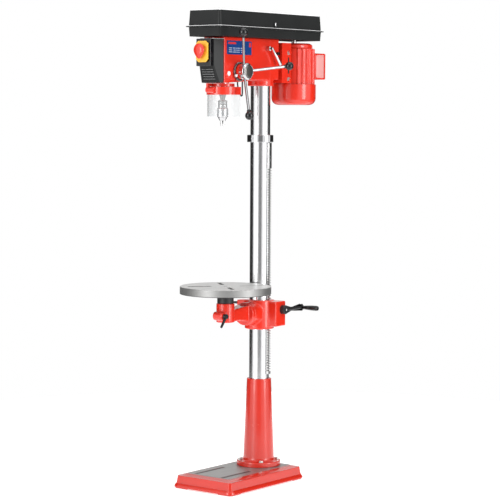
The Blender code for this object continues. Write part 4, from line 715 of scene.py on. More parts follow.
def write_raw_cast(f, colour, centre, rings, painted=0.0):
    """Machined cast iron: turning rings round a centre, or straight planer lines
    along Y, over graphite flecks and a little staining. Faces that stand upright
    are painted darker, a painted shade, and what lies below the height `painted` is black."""
    spot = f.place((1, 1, 1), tuple(-np.array(centre)))
    x, y = f.along(0, spot), f.along(1, spot)
    radius = f.maths("SQRT", x * x + y * y) if rings else x
    spread = f.out(f.node("ShaderNodeCombineXYZ", {}, {0: radius, 1: 0.0, 2: 0.0}))
    cuts = f.noise(1300.0, 3.0, 0.6, spread)
    passes = f.noise(70.0, 2.0, 0.5, spread)
    stain = f.noise(16.0, 5.0, 0.6)
    flecks = f.step(f.noise(620.0, 2.0, 0.5), 0.62, 0.74)
    tone = stain * 0.55 + passes * 0.45
    facing = f.along(2, f.out(f.node("ShaderNodeNewGeometry", {}, {}), "Normal"))
    # painted shade: faces that stand upright are painted darker than faces that look up
    upright_painted_shade = 1 - f.step(facing, 0.5, 0.9)
    paint = 1 - f.step(f.along(2), painted - 0.0002, painted + 0.0002)
    base = f.mixed(tone, scaled(colour, 0.70), scaled(colour, 1.25))
    base = f.mixed(upright_painted_shade * 0.75, base, scaled(colour, 0.35))
    base = f.mixed(flecks * 0.35, base, scaled(colour, 0.4))
    return f.surface(
        {
            "Base Color": f.mixed(paint, base, (0.012, 0.012, 0.013)),
            "Metallic": 0.85 - paint * 0.85,
            "Roughness": 0.34 + cuts * 0.14 + stain * 0.10,
            "Normal": f.bump(cuts * 0.6 + passes * 0.4, 0.00004),
        }
    )


def write_clear(f, tint):
    """Clear sheet plastic: see-through face on, brighter and greyer at a glancing
    angle and along its cut edges, with fine wiping scratches."""
    scratches = f.noise(240.0, 6.0, 0.75, f.place((1, 8, 1), turn=(0.3, 0.2, 0.5)))
    rim = f.out(f.node("ShaderNodeLayerWeight", {}, {"Blend": 0.35}), "Facing")
    return f.surface(
        {
            "Base Color": f.mixed(rim, tint, scaled(tint, 0.55)),
            "Roughness": 0.04 + scratches * 0.08,
            "Alpha": 0.16 + f.maths("POWER", rim, 1.6) * 0.62,
            "Coat Weight": 0.5,
            "Coat Roughness": 0.03,
        }
    )


def clear_plastic():
    return finish("clear_polycarbonate", write_clear, (0.82, 0.85, 0.86))


# ---------------------------------------------------------------- settings


class PressColours(PropertyGroup):
    """The colours that a user would change."""

    enamel: FloatVectorProperty(
        name="Enamel", description="Gloss paint of the castings", default=(0.76, 0.026, 0.010),
        subtype="COLOR",
    )
    cover: FloatVectorProperty(
        name="Covers", description="Belt cover and front panel", default=(0.017, 0.018, 0.018),
        subtype="COLOR",
    )
    knob: FloatVectorProperty(
        name="Knobs", description="Handles and knobs", default=(0.004, 0.004, 0.005),
        subtype="COLOR",
    )
    flap: FloatVectorProperty(
        name="Flap", description="Flap over the switch", default=(0.95, 0.50, 0.04),
        subtype="COLOR",
    )
    mushroom: FloatVectorProperty(
        name="Mushroom", description="Emergency stop on the flap", default=(0.72, 0.035, 0.02),
        subtype="COLOR",
    )
    label: FloatVectorProperty(
        name="Plate", description="Plate on the side of the head", default=(0.004, 0.045, 0.20),
        subtype="COLOR",
    )


class PressSizes(PropertyGroup):
    """The finishing sizes that a user would change."""

    cell: FloatProperty(
        name="Casting cell", description="Cell of the remeshed castings", default=0.0022,
        unit="LENGTH",
    )
    rim: FloatProperty(
        name="Machined rim", description="Radius on machined edges", default=0.0008,
        unit="LENGTH",
    )
    edge: FloatProperty(
        name="Pressed edge", description="Radius on folded sheet and mouldings", default=0.0025,
        unit="LENGTH",
    )
    cover_edge: FloatProperty(
        name="Cover edge", description="Radius on the rims of the belt cover", default=0.006,
        unit="LENGTH",
    )


class PressStage(PropertyGroup):
    """The camera and the room."""

    place: FloatVectorProperty(
        name="Camera place", description="Where the camera stands",
        default=(4.23671, -5.55822, 1.37080), subtype="TRANSLATION", unit="LENGTH",
    )
    turn: FloatProperty(
        name="Turn", description="Camera's turn round Z", default=math.radians(37.61),
        subtype="ANGLE",
    )
    dip: FloatProperty(
        name="Dip", description="How far the camera looks down", default=math.radians(4.22),
        subtype="ANGLE",
    )
    roll: FloatProperty(
        name="Roll", description="Camera's roll", default=math.radians(0.288), subtype="ANGLE"
    )
    lens: FloatProperty(name="Lens", description="Focal length in mm", default=136.2)


def colours():
    return bpy.context.scene.press_colours


def sizes():
    return bpy.context.scene.press_sizes


def stage():
    return bpy.context.scene.press_stage


# ---------------------------------------------------------------- base and column


def write_base_enamel(f, colour, top):
    """The base casting: enamel all over, planed bare on the raised table."""
    bare = f.step(f.along(2), top - 0.0012, top - 0.0004)
    lines = f.noise(900.0, 3.0, 0.6, f.place((1, 0.02, 1)))
    passes = f.noise(60.0, 2.0, 0.5, f.place((1, 0.05, 1)))
    stain = f.noise(14.0, 5.0, 0.6)
    peel = f.noise(650.0, 2.0, 0.5)
    drift = f.noise(6.0, 3.0)
    paint = f.mixed(drift, scaled(colour, 0.86), scaled(colour, 1.08))
    iron = f.mixed(stain * 0.6 + passes * 0.4, (0.24, 0.24, 0.235), (0.46, 0.46, 0.45))
    return f.surface(
        {
            "Base Color": f.mixed(bare, paint, iron),
            "Metallic": bare * 0.85,
            "Roughness": 0.20 + peel * 0.06 + bare * (0.14 + lines * 0.14),
            "Coat Weight": 0.55 - bare * 0.55,
            "Coat Roughness": 0.05,
            "Normal": f.bump(peel * 0.4 + f.noise(180.0, 4.0) * 0.6 + bare * lines * 0.3, 0.0002),
        }
    )


def shaded_low_enamel_colour():
    """The enamel near the floor painted a little darker: a painted shade, as little light reaches
    it from below.
    """
    return scaled(tuple(colours().enamel), 0.74)


def base_piece():
    """The base casting with its rims rounded."""
    top = corners("base_casting")[1][2]
    # painted shade: the base's enamel is painted darker than the head's
    paint = finish("base_enamel_and_planed_top", write_base_enamel, shaded_low_enamel_colour(), top)
    refined("base_casting", "base", paint, sizes().edge * 0.9, 4, 25)


def base_trim():
    """The flared lip round the foot of the base, and black blocks in its slots as a painted shade.
    The lip is one ring: the base's outline moved out and in, at two heights."""
    low, high = corners("base_casting")
    out, back, foot, top = 0.0055, 0.0030, low[2] + 0.0045, low[2] + 0.0180
    outline = eased([(low[0], low[1]), (high[0], low[1]), (high[0], high[1]), (low[0], high[1])],
                    0.020, True, 6)
    rings = []
    for move, z in ((-out, foot), (-out, foot + 0.0060), (0.0, top), (back, top), (back, foot)):
        flat = inset(np.asarray(outline), move)
        rings.append(np.column_stack([flat, np.full(len(flat), z)]))
    # painted shade: the lip's enamel is painted darker than the head's
    paint = finish("base_lip_enamel", write_enamel, shaded_low_enamel_colour(), 0.0001)
    made("base_lip", [skin(np.array(rings), "join")], paint, "stand")
    # painted shade: black blocks sit inside the slots where shadow falls
    slot_shades = []
    for side in (-1, 1):
        x = side * BASE_SLOT_X
        slot_shades.append(block((x - BASE_SLOT_HALF, BASE_SLOT_FRONT, high[2] - 0.0080),
                           (x + BASE_SLOT_HALF, BASE_SLOT_REAR, high[2] - 0.0008),
                           0.0003, 0.0020))
    made("base_slot_shades", slot_shades, painted_shade_black(), "stand")


def base_bolts():
    """Hex bolts and washers through the flange of the pedestal."""
    shapes = []
    nodes = [f"flange_bolt_{k}" for k in range(1, 5)]
    for node in nodes:
        low, high = corners(node)
        spot = np.array([*((low + high) / 2)[:2], low[2]])
        across = (high - low)[1]
        shapes.append(washer(spot, Z_AXIS, across * 0.72, across * 0.32, 0, 0.0012))
        shapes.append(hexagon(spot, Z_AXIS, across, 0.0012, high[2] - low[2]))
    made("base_bolts", shapes, zinc(), "stand", nodes)


def pedestal_piece():
    """A profile turned round the column: radius falls in a straight cone from the
    foot to the top, with a hollow fillet into the flange."""
    low, high = corners("pedestal")
    flange, bore = high[0], corners("column_tube")[1][0] + 0.0003
    thick, foot, top = 0.018, 0.058, 0.0447
    outside = [
        (flange - 0.004, low[2]),
        (flange, low[2]),
        (flange, low[2] + thick),
        (foot, low[2] + thick),
        (top, high[2]),
        (bore, high[2]),
    ]
    reach = [0.001, 0.003, 0.004, 0.016, 0.0035, 0.001]
    line = np.vstack([[(bore, low[2])], eased(outside, reach, steps=7), [(bore, low[2])]])
    # painted shade: the pedestal's enamel is painted darker than the head's
    made(
        "pedestal_casting",
        [turned(line[:-1], np.zeros(3), Z_AXIS, 96, "join")],
        finish("pedestal_enamel", write_enamel, shaded_low_enamel_colour(), 0.0003),
        "stand",
        ["pedestal"],
    )


def column_piece():
    """The ground tube: a plain wall with rounded ends."""
    low, high = corners("column_tube")
    radius, wall = high[0], 0.0034
    tube = [(radius - wall, low[2]), (radius, low[2]), (radius, high[2]), (radius - wall, high[2])]
    profile = eased(tube, 0.0012, True, 4)
    made(
        "column", [turned(profile, np.zeros(3), Z_AXIS, 128, "join")],
        ground_tube(), "stand", ["column_tube"],
    )


def collar_piece():
    """The ring that holds the top of the rack, with its grub screw."""
    low, high = corners("rack_collar")
    radius, bore = high[0], corners("column_tube")[1][0] + 0.0003
    ring = [(bore, low[2]), (radius, low[2]), (radius, high[2]), (bore, high[2])]
    profile = eased(ring, 0.0022, True, 6)
    shapes = [turned(profile, np.zeros(3), Z_AXIS, 128, "join")]
    spot = np.array([0, -radius + 0.0006, (low[2] + high[2]) / 2])
    shapes.append(turned(eased([(0, 0), (0.0042, 0), (0.0042, 0.0022), (0.0022, 0.0022),
                                (0.0020, 0.0008), (0, 0.0008)], 0.0003), spot, -Y_AXIS, 24))
    made("rack_ring", shapes, chrome(), "stand", ["rack_collar"])


def rack_piece():
    refined("rack", "toothed_rack", bright_steel(), 0.0003, 2)


# ---------------------------------------------------------------- table


def table_pieces():
    """The round table, machined on top and on the rim, with its dark post below."""
    low, high = corners("table")
    centre = (low + high) / 2
    skin_finish = finish(
        "turned_cast_iron", write_raw_cast, (0.62, 0.62, 0.61), (centre[0], centre[1], 0), True,
        float(high[2] - 0.0255),
    )
    refined("table", "work_table_top", skin_finish, sizes().rim, 3)


def table_castings():
    cast("table_bracket", "bracket_casting", cast_enamel(), sizes().cell, 8)
    cast("table_arm", "arm_casting", cast_enamel(), sizes().cell, 8)


def lever_pieces():
    refined("clamp_lever", "table_wing_lever", black_iron(), 0.0012)
    refined("column_lock_lever", "column_leaf_lever", black_iron(), 0.0012)


def crank_pieces():
    """The crank: hub, thick tapered arm with its screw, and grip. The arm's outline
    is two arcs, of hub and eye radius, joined by straight sides."""
    refined("crank", "crank_hub", black_iron(), 0.0014)
    spot, eye = joint_spot("crank_turn"), joint_spot("grip_spin")
    axis = unit(np.array(joint("crank_turn")["axis"]))
    across = np.cross(Z_AXIS, axis)
    reach = float((eye - spot) @ across)
    arc = np.linspace(-np.pi / 2, np.pi / 2, 13)
    hub, tip = 0.0168, 0.0108
    outline = np.vstack([
        np.stack([-hub * np.cos(arc), hub * -np.sin(arc)], axis=1)[::-1],
        np.stack([reach + tip * np.cos(arc), tip * -np.sin(arc)], axis=1)[::-1],
    ])[::-1]
    points, faces = prism(outline, 0.0065, 0.0165, 0.0022, np.array([across, Z_AXIS, axis]))
    made("crank_arm", [(points + spot, faces)], black_iron(), "crank_handle")
    made("crank_screw", [screw(spot + axis * 0.0188, axis, 0.0042, 0.0022)], zinc(),
         "crank_handle")
    refined("crank_grip", "crank_handle_grip", gloss_black(), 0.0012)
    refined("lift_pinion", "lift_gear", bright_steel(), 0.0003, 2)


# ---------------------------------------------------------------- head


def head_pieces():
    cast("head_casting", "head_body", cast_enamel(), sizes().cell * 1.1, 6)


def front_pieces():
    """The black front panel, and the switch box in it with its start and stop buttons."""
    refined("front_fascia", "front_panel", satin_black(), sizes().edge)
    refined("switch_box", "switch_surround", gloss_black(), sizes().edge * 1.4, 5)
    for node, name, write in (
        ("start_button", "start_push", green_plastic),
        ("stop_button", "stop_push", red_plastic),
    ):
        low, high = corners(node)
        cap = block(low, high, 0.0012, 0.002, axis=1)
        made(name, [cap], write(),
             frame["nodes"][node]["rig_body"], [node])


def flap_piece():
    """The yellow flap: a rounded plate with notched top corners and cut lower
    corners, hinged at the top, and the red mushroom that closes it."""
    low, high = corners("stop_flap")
    back, front = high[1], low[1]
    half = (high - low)[0] / 2
    centre_x = (low + high)[0] / 2
    plate_front = back - 0.0045
    top, bottom = high[2], low[2]
    cut, notch = 0.011, 0.006
    outline = np.array([
        (-half + cut, bottom), (half - cut, bottom), (half, bottom + cut), (half, top - notch),
        (half - notch, top - notch), (half - notch * 1.4, top), (-half + notch * 1.4, top),
        (-half + notch, top - notch), (-half, top - notch), (-half, bottom + cut),
    ])
    rows = np.array([X_AXIS, Z_AXIS, Y_AXIS])
    points, faces = prism(eased(outline, 0.0022, True), plate_front, back, 0.0012, rows)
    points[:, 0] += centre_x
    mound = mushroom_cap(centre_x - 0.002, plate_front, front)
    made("switch_flap", [(points, faces)], yellow_plastic(), "flap",
         ["stop_flap"])
    made("stop_mushroom", [mound], red_plastic(), "flap")


def mushroom_cap(x, back, front):
    """A drop-shaped cap: a dome turned round Y whose lower half is drawn out to a
    point. At a depth d below its centre, z falls by pull d^3 / r^2 and x shrinks by
    the share pinch (d / r)^2, with r the cap's radius."""
    depth = back - front
    low, high = corners("stop_flap")
    centre = np.array([x, back, low[2] + 0.51 * (high - low)[2] + MUSHROOM_RISE])
    stem = [(0, -0.0004), (MUSHROOM_STEM, -0.0004), (MUSHROOM_STEM, depth * 0.45),
            (MUSHROOM_RADIUS, depth * 0.52)]
    dome = [(MUSHROOM_RADIUS, depth * 0.72), (0.014, depth * 0.93), (0, depth)]
    points, faces = turned(eased(stem + dome, 0.004), centre, -Y_AXIS, 40)
    offset = points - centre
    down = np.maximum(-offset[:, 2], 0)
    pull, pinch = 0.35, 0.25
    points[:, 2] -= down**3 / MUSHROOM_RADIUS**2 * pull
    points[:, 0] -= offset[:, 0] * (down / MUSHROOM_RADIUS) ** 2 * pinch
    return points, faces


def vent_pieces():
    """Raised louvre ribs across the front panel below the switch."""
    foot = corners("front_fascia")[0][2]
    first, spread, rise, half_width, half_height = 0.012, 0.034, 0.063, 0.026, 0.0016
    shapes = []
    for share in np.linspace(0, 1, 5):
        above = first + share * spread
        y = FASCIA_FOOT_Y - FASCIA_LEAN * min(above / rise, 1.0)
        near = (-half_width, y - half_height, foot + above - half_height)
        far = (half_width, y + 0.0030, foot + above + half_height)
        shapes.append(block(near, far, 0.0010, axis=0))
    made("front_panel_ribs", shapes, satin_black(), "stand")


def write_plate(f, colour, low, high):
    """A printed plate: a blue field, a red bar, a red square and rows of pale
    strokes where a maker's data would be, with no lettering."""
    y, z = f.along(1), f.along(2)
    u = (y - float(low[1])) / float(high[1] - low[1])
    v = (z - float(low[2])) / float(high[2] - low[2])
    bar = f.band(u, 0.06, 0.36, 0.01) * f.band(v, 0.76, 0.88, 0.02)
    square = f.band(u, 0.90, 0.97, 0.01) * f.band(v, 0.58, 0.88, 0.02)
    rows = f.step(f.maths("SINE", v * 44.0), 0.2, 0.5)
    breaks = f.step(f.noise(90.0, 1.0, 0.5, f.place((0, 1, 0.4))), 0.40, 0.46)
    strokes = rows * breaks * f.band(u, 0.08, 0.70, 0.01) * f.band(v, 0.12, 0.52, 0.02)
    ground = f.mixed(strokes * 0.75, colour, (0.55, 0.65, 0.80))
    marked = f.mixed(f.maths("MAXIMUM", bar, square), ground, (0.70, 0.03, 0.03))
    return f.surface(
        {
            "Base Color": marked,
            "Roughness": 0.22 + f.noise(300.0, 3.0) * 0.08,
            "Normal": f.bump(strokes * 0.6 + f.noise(500.0, 2.0) * 0.2, 0.00002),
            "Coat Weight": 0.5,
            "Coat Roughness": 0.06,
        }
    )


def plate_pieces():
    """The data plate on the head's right side, and the white blanking plug below."""
    side = corners("head_casting")[1][0]
    face = 0.0470
    low, high = np.array([face, -0.2606, 1.5697]), np.array([face + 0.0009, -0.1174, 1.6188])
    plate = block(low - [0.0004, 0, 0], high, 0.0003, 0.004, axis=0)
    paint = finish("printed_plate", write_plate, colours().label, low, high)
    made("data_plate", [plate], paint, "stand")
    plug = turned(
        eased([(0, -0.001), (0.0085, -0.001), (0.0085, 0.0016), (0.006, 0.003), (0, 0.003)],
              0.0006),
        np.array([side - 0.0005, -0.2483, 1.5017]), X_AXIS, 40,
    )
    made("side_plug", [plug], white_plastic(), "stand")


# ---------------------------------------------------------------- feed


def feed_pieces():
    """The spoked pilot wheel: chrome hub, dark turned end disc, and three rods with
    necked ball knobs. A knob is an arc turned round its rod."""
    low, high = corners("feed_hub")
    centre = np.array([0, *((low + high) / 2)[1:]])
    radius = (high - low)[1] / 2
    inner, outer = low[0], high[0]
    recess, disc_edge = radius * 0.74, radius * 0.73
    hub = eased(
        [(0, inner), (radius * 0.86, inner), (radius, inner + 0.005), (radius, outer - 0.007),
         (radius * 0.80, outer - 0.001), (recess, outer - 0.001), (recess, outer - 0.003),
         (0, outer - 0.003)], 0.0018)
    made("feed_hub_body", [turned(hub, centre, X_AXIS, 96)], chrome(), "feed",
         ["feed_hub"])
    disc = eased(
        [(0, outer - 0.0035), (disc_edge, outer - 0.0035), (disc_edge, outer - 0.0010),
         (radius * 0.62, outer + 0.0008), (radius * 0.2, outer + 0.0012), (0, outer + 0.0012)],
        0.001)
    made("feed_hub_disc", [turned(disc, centre, X_AXIS, 64)], shaded_dark_steel(), "feed")
    for number in (1, 2, 3):
        knob = middle(f"feed_knob_{number}")
        outward = knob - centre
        outward[0] = 0
        outward = unit(outward)
        root = centre + outward * radius * 0.6 + X_AXIS * ROD_PLANE
        tip = knob - unit(knob - root) * 0.006
        along = unit(tip - root)
        length = np.linalg.norm(tip - root)
        rod = [(0, 0), (ROD_RADIUS, 0), (ROD_RADIUS, length), (0, length)]
        made(f"feed_rod_{number}", [turned(eased(rod, 0.0008), root, along, 32)],
             shaded_rod_chrome(), "feed", [f"feed_arm_{number}"])
        tilt = np.linspace(-1.18, np.pi / 2, 22)
        bulb = KNOB_RADIUS * np.stack([np.cos(tilt), np.sin(tilt)], axis=1)
        neck = [(0, -0.0215), (0.0072, -0.0215), (0.0076, -0.0190), (0.0064, -0.0160)]
        profile = np.vstack([neck, bulb])
        made(f"feed_ball_{number}", [turned(profile, knob, along, 48)],
             gloss_black(), "feed", [f"feed_knob_{number}"])


def write_dial(f, colour, centre):
    """A black depth dial with white graduations on its rim and no figures: fifty
    divisions, with a long stroke at every fifth."""
    y = f.along(1) - float(centre[1])
    z = f.along(2) - float(centre[2])
    turn = f.maths("ARCTAN2", z, y) * (50.0 / (2 * math.pi))
    part = f.maths("FRACT", turn + 100.0)
    tenth = f.maths("FRACT", turn * 0.2 + 100.0)
    rim = f.maths("SQRT", y * y + z * z)
    face = f.band(rim, 0.0305, 0.0400, 0.0004)
    fine = (1 - f.step(part, 0.16, 0.24)) * f.band(rim, 0.0320, 0.0400, 0.0003)
    coarse = (1 - f.step(tenth, 0.032, 0.048)) * face
    mark = f.maths("MAXIMUM", fine, coarse)
    return f.surface(
        {
            "Base Color": f.mixed(mark, colour, (0.75, 0.75, 0.75)),
            "Roughness": 0.26 + f.noise(500.0, 2.0) * 0.08,
            "Coat Weight": 0.3,
            "Coat Roughness": 0.06,
            "Normal": f.bump(mark, 0.00005),
        }
    )


def depth_pieces():
    """The graduated ring turned on the feed shaft, with a knurled rim and its
    ball-headed lock screw: the rim's radius waves by knurl * cos(60 a)."""
    low, high = corners("depth_ring")
    centre = np.array([0, *((low[1:] + high[1:]) / 2)])
    centre[1], centre[2] = joint_spot("depth_stop_turn")[1:]
    radius = 0.0340
    bore, drum_radius, thick = 0.0150, 0.0280, 0.0070
    profile = eased(
        [(bore, low[0]), (radius - 0.002, low[0]), (radius, low[0] + 0.001),
         (radius, low[0] + thick - 0.0008), (radius - 0.001, low[0] + thick),
         (bore, low[0] + thick)],
        0.0005, True, 4)
    ring, faces = turned(profile, centre, X_AXIS, 360, "join")
    around = np.arctan2(ring[:, 2] - centre[2], ring[:, 1] - centre[1])
    far = np.hypot(ring[:, 2] - centre[2], ring[:, 1] - centre[1]) > radius - 0.0012
    knurl = 1 + 0.010 * np.cos(60 * around) * far
    ring[:, 1:] = centre[1:] + (ring[:, 1:] - centre[1:]) * knurl[:, None]
    dial = finish("graduated_dial", write_dial, colours().knob, centre)
    made("depth_dial", [(ring, faces)], dial, "depth_stop", ["depth_ring"])
    drum = eased(
        [(bore, low[0] + thick + 0.0002), (drum_radius, low[0] + thick + 0.0002),
         (drum_radius, high[0] - 0.0002), (bore, high[0] - 0.0002)], 0.0010, True, 4)
    made("depth_drum", [turned(drum, centre, X_AXIS, 72, "join")], enamel(),
         "depth_stop")
    lean = LOCK_SCREW_LEAN
    out = np.array([0, math.cos(lean), math.sin(lean)])
    spot = centre + X_AXIS * (low[0] + 0.012) + out * (drum_radius - 0.0002)
    stem = eased([(0, 0), (0.0024, 0), (0.0024, 0.004), (0.0048, 0.0052), (0.0048, 0.0095),
                  (0.0034, 0.0108), (0, 0.0108)], 0.0010)
    made("depth_lock_screw", [turned(stem, spot, out, 28)], white_plastic(),
         "depth_stop")


def joint_spot(name):
    """A point on a joint's axis, in metres."""
    return np.array(joint(name)["pos_m"])


def small_controls():
    refined("spring_cap", "return_spring_cap", chrome(), 0.0012)
    refined("tension_lever", "belt_tension_lever", chrome(), 0.0010)
    refined("motor_lock_knob", "motor_lock_knob_cap", gloss_black(), 0.0010)


# ---------------------------------------------------------------- chuck and guard


def spindle_pieces():
    """The quill, and the keyed chuck: body with grip rings, toothed sleeve and jaws.
    The sleeve's radius drops by steps at its 20 teeth and by waves at its 30 flutes."""
    refined("quill", "quill_tube", bright_steel(), 0.0005, 2)
    refined("spindle", "spindle_shaft", shaded_dark_steel(), 0.0003, 2)
    low, high = corners("chuck_body")
    axis = middle("chuck_body") * np.array([1, 1, 0])
    body = eased(
        [(0.0095, low[2]), (0.0110, low[2]), (0.0160, low[2] + 0.010), (0.0165, low[2] + 0.012),
         (0.0165, high[2] - 0.012), (0.0150, high[2] - 0.006), (0.0142, high[2] - 0.002),
         (0.0135, high[2]), (0.0095, high[2])], 0.0012, True, 5)
    shell, faces = turned(body, axis, Z_AXIS, 72, "join")
    made("chuck_shell", [(shell, faces)], chrome(), "spindle_chuck", ["chuck_body"])
    beads = []
    inner, outer, half = 0.0120, 0.0172, 0.0030
    for share in (0.50, 0.64, 0.78, 0.92):
        z = low[2] + share * (high[2] - low[2])
        ring = eased([(inner, z - half), (outer, z - half), (outer, z + half), (inner, z + half)],
                     0.0014, True, 5)
        beads.append(turned(ring, axis, Z_AXIS, 72, "join"))
    made("chuck_grip_rings", beads, shaded_dark_steel(), "spindle_chuck")
    low, high = corners("chuck_sleeve")
    radius = (high - low)[0] / 2
    sleeve = eased(
        [(0.0170, low[2]), (radius - 0.0028, low[2]), (radius, low[2] + 0.0040),
         (radius, high[2] - 0.0060), (radius - 0.0020, high[2] - 0.0040),
         (radius - 0.0030, high[2]), (0.0170, high[2])], 0.0007, True, 4)
    ring, faces = turned(sleeve, axis, Z_AXIS, 240, "join")
    spot = ring - axis
    around = np.arctan2(spot[:, 1], spot[:, 0])
    out = np.hypot(spot[:, 0], spot[:, 1])
    toothed = (out > radius - 0.0035) & (spot[:, 2] > high[2] - 0.0065)
    grooved = (out > radius - 0.0005) & (spot[:, 2] < high[2] - 0.0120)
    wave = 1 - 0.045 * toothed * (0.5 - 0.5 * np.sign(np.sin(20 * around)))
    wave -= 0.018 * grooved * (0.5 + 0.5 * np.cos(30 * around)) ** 2
    ring[:, :2] = axis[:2] + spot[:, :2] * wave[:, None]
    made("chuck_key_sleeve", [(ring, faces)], chrome(), "sleeve", ["chuck_sleeve"])
    for number in (1, 2, 3):
        refined(f"chuck_jaw_{number}", f"jaw_{number}_blade", bright_steel(),
                0.0004, 2)


def guard_pieces():
    refined("guard_bracket", "guard_hinge_bracket", enamel(), sizes().rim)
    refined("guard_holder", "guard_frame", enamel(), sizes().rim)
    refined("guard_shield", "guard_window", clear_plastic(), 0.0006, 2)
    refined("guard_lead", "guard_switch_lead", rubber(), 0.0003, 2)


# ---------------------------------------------------------------- motor


def motor_pieces():
    """The stator shell: radius is constant but for cooling ribs on both sides of the
    frame, each of height h cos^0.6(n a). The shell narrows to the end bell above."""
    low, high = corners("motor_body")
    axis = middle("motor_rotor") * np.array([1, 1, 0])
    radius, bell = 0.0790, 0.0700
    cooling_top, top = 1.6010, high[2]
    line = eased(
        [(0.0150, low[2]), (radius - 0.004, low[2]), (radius - 0.0035, low[2]),
         (radius - 0.0035, cooling_top), (bell, cooling_top + 0.004), (bell, top - 0.006),
         (bell - 0.010, top), (0.022, top), (0.0150, top)], 0.003, True, 5)
    shell, faces = turned(line, axis, Z_AXIS, 240, "join")
    spot = shell - axis
    around = np.arctan2(spot[:, 1], spot[:, 0])
    out = np.hypot(spot[:, 0], spot[:, 1])
    side = (out > radius - 0.0060) & (spot[:, 2] < cooling_top + 0.001)
    sideways = np.abs(np.cos(around)) > 0.62
    ridge = np.maximum(np.cos(around * RIBS_ROUND), 0) ** 0.6
    height = RIB_HEIGHT * ridge * side * sideways
    shell[:, :2] = axis[:2] + spot[:, :2] * ((out + height) / out)[:, None]
    made("motor_shell", [(shell, faces)], enamel(), "motor_carriage", ["motor_body"])
    refined("motor_plate", "motor_mount", enamel(), sizes().edge * 0.8)
    mount_fasteners()
    refined("motor_rotor", "motor_rotor_core", bright_steel(), 0.0004, 2)


def mount_fasteners():
    """Hex bolts with washers on both cheeks of the mount, and black blocks on its slots as a
    painted shade.
    """
    cheek, y = MOUNT_CHEEK
    bolts, slot_shades = [], []
    for side in (-1, 1):
        axis = X_AXIS * side
        for z in MOUNT_BOLT_HEIGHTS:
            spot = np.array([side * cheek, y, z])
            bolts.append(washer(spot, axis, 0.0082, 0.0036, -0.0002, 0.0010))
            bolts.append(hexagon(spot, axis, 0.0120, 0.0010, 0.0058))
        # painted shade: black blocks on the cheeks stand in for the shadow inside the slots
        for z in MOUNT_SLOT_HEIGHTS:
            near, far = sorted((side * (cheek - 0.0010), side * (cheek + 0.0003)))
            slot_shades.append(block((near, y - 0.0035, z - 0.0110), (far, y + 0.0035, z + 0.0110),
                               0.0002, 0.0034, axis=0))
    made("mount_bolts", bolts, zinc(), "motor_carriage")
    made("mount_slots", slot_shades, painted_shade_black(), "motor_carriage")


def fan_cover_piece():
    """A pressed bowl: a cylinder that closes below in a wide radius."""
    low, high = corners("fan_cover")
    axis = ((low + high) / 2) * np.array([1, 1, 0])
    radius, wall = (high - low)[0] / 2, 0.0020
    outer = eased([(0.016, low[2]), (radius, low[2]), (radius, high[2])], [0, 0.030, 0], False, 14)
    inner = eased(
        [(radius - wall, high[2]), (radius - wall, low[2] + wall), (0.016, low[2] + wall)],
        [0, 0.028, 0], False, 14)
    made("fan_cowl", [turned(np.vstack([outer, inner]), axis, Z_AXIS, 120, "join")],
         enamel(), "motor_carriage", ["fan_cover"])


def crowned_panel(side, low, high, face, rise):
    """A raised side panel that leans back and is slightly crowned: its height is
    rise (0.25 + 0.75 v) (1 - u^6) (1 - w^6), with v running to the rear."""
    u = np.linspace(-1, 1, 25)
    across, up = np.meshgrid(u, u, indexing="ij")
    fall = (1 - across**6) * (1 - up**6)
    height = rise * (0.25 + 0.375 * (across + 1)) * fall
    y = (low[1] + high[1]) / 2 + across * (high[1] - low[1]) / 2
    z = (low[2] + high[2]) / 2 + up * (high[2] - low[2]) / 2
    sunk, backed = 0.0002, 0.0020
    outer = np.stack([side * (face + height - sunk), y, z], axis=-1).reshape(-1, 3)
    inner = np.stack([np.full_like(y, side * (face - backed)), y, z], axis=-1).reshape(-1, 3)
    count = len(u)
    index = np.arange(count * count).reshape(count, count)
    cell = np.stack([index[:-1, :-1], index[:-1, 1:], index[1:, 1:], index[1:, :-1]], axis=-1)
    cell = cell.reshape(-1, 4)
    rim = np.concatenate([index[0, :-1], index[:-1, -1], index[-1, :0:-1], index[:0:-1, 0]])
    beside = np.roll(rim, -1)
    wall = np.stack([rim, beside, beside + count * count, rim + count * count], axis=-1)
    faces = np.vstack([cell, cell[:, ::-1] + count * count, wall])
    return np.vstack([outer, inner]), faces.tolist()


def terminal_piece():
    """The wiring box: a cast box with a framed lid, side panels painted pale pink as a painted
    reflection, and four screws.
    """
    low, high = corners("terminal_box")
    lid = 0.006
    shapes = [
        block(low, high - [0, lid + 0.0008, 0], 0.004, 0.006, axis=1),
        block([low[0], high[1] - lid, low[2]], high, 0.0024, 0.006, axis=1),
    ]
    made("terminal_casing", shapes, enamel(), "motor_carriage", ["terminal_box"])
    border = 0.0055
    sides = []
    for side in (-1, 1):
        far = high - border - [0, lid, 0]
        sides.append(crowned_panel(side, low + border, far, high[0], 0.0042))
    # painted reflection: the side panels are painted pale pink, standing in for the white room they
    # reflect
    pale = finish("pale_red_enamel", write_enamel, (0.80, 0.36, 0.34), 0.0)
    made("terminal_side_panels", sides, pale, "motor_carriage")
    margin = 0.008
    screws = [
        screw(np.array([x, high[1] - 0.0003, z]), Y_AXIS, 0.0032, 0.0016)
        for x in (low[0] + margin, high[0] - margin)
        for z in (low[2] + margin, high[2] - margin)
    ]
    made("terminal_screws", screws, zinc(), "motor_carriage")


# ---------------------------------------------------------------- belt cover and drive


def cover_outline(low, high, depth, corner):
    """The cover seen from above: a rectangle with cut corners, moved inwards."""
    x0, y0, x1, y1 = low[0] + depth, low[1] + depth, high[0] - depth, high[1] - depth
    cut = max(0.004, corner - 0.6 * depth)
    return np.array([
        (x0 + cut, y0), (x1 - cut, y0), (x1, y0 + cut), (x1, y1 - cut),
        (x1 - cut, y1), (x0 + cut, y1), (x0, y1 - cut), (x0, y0 + cut),
    ])


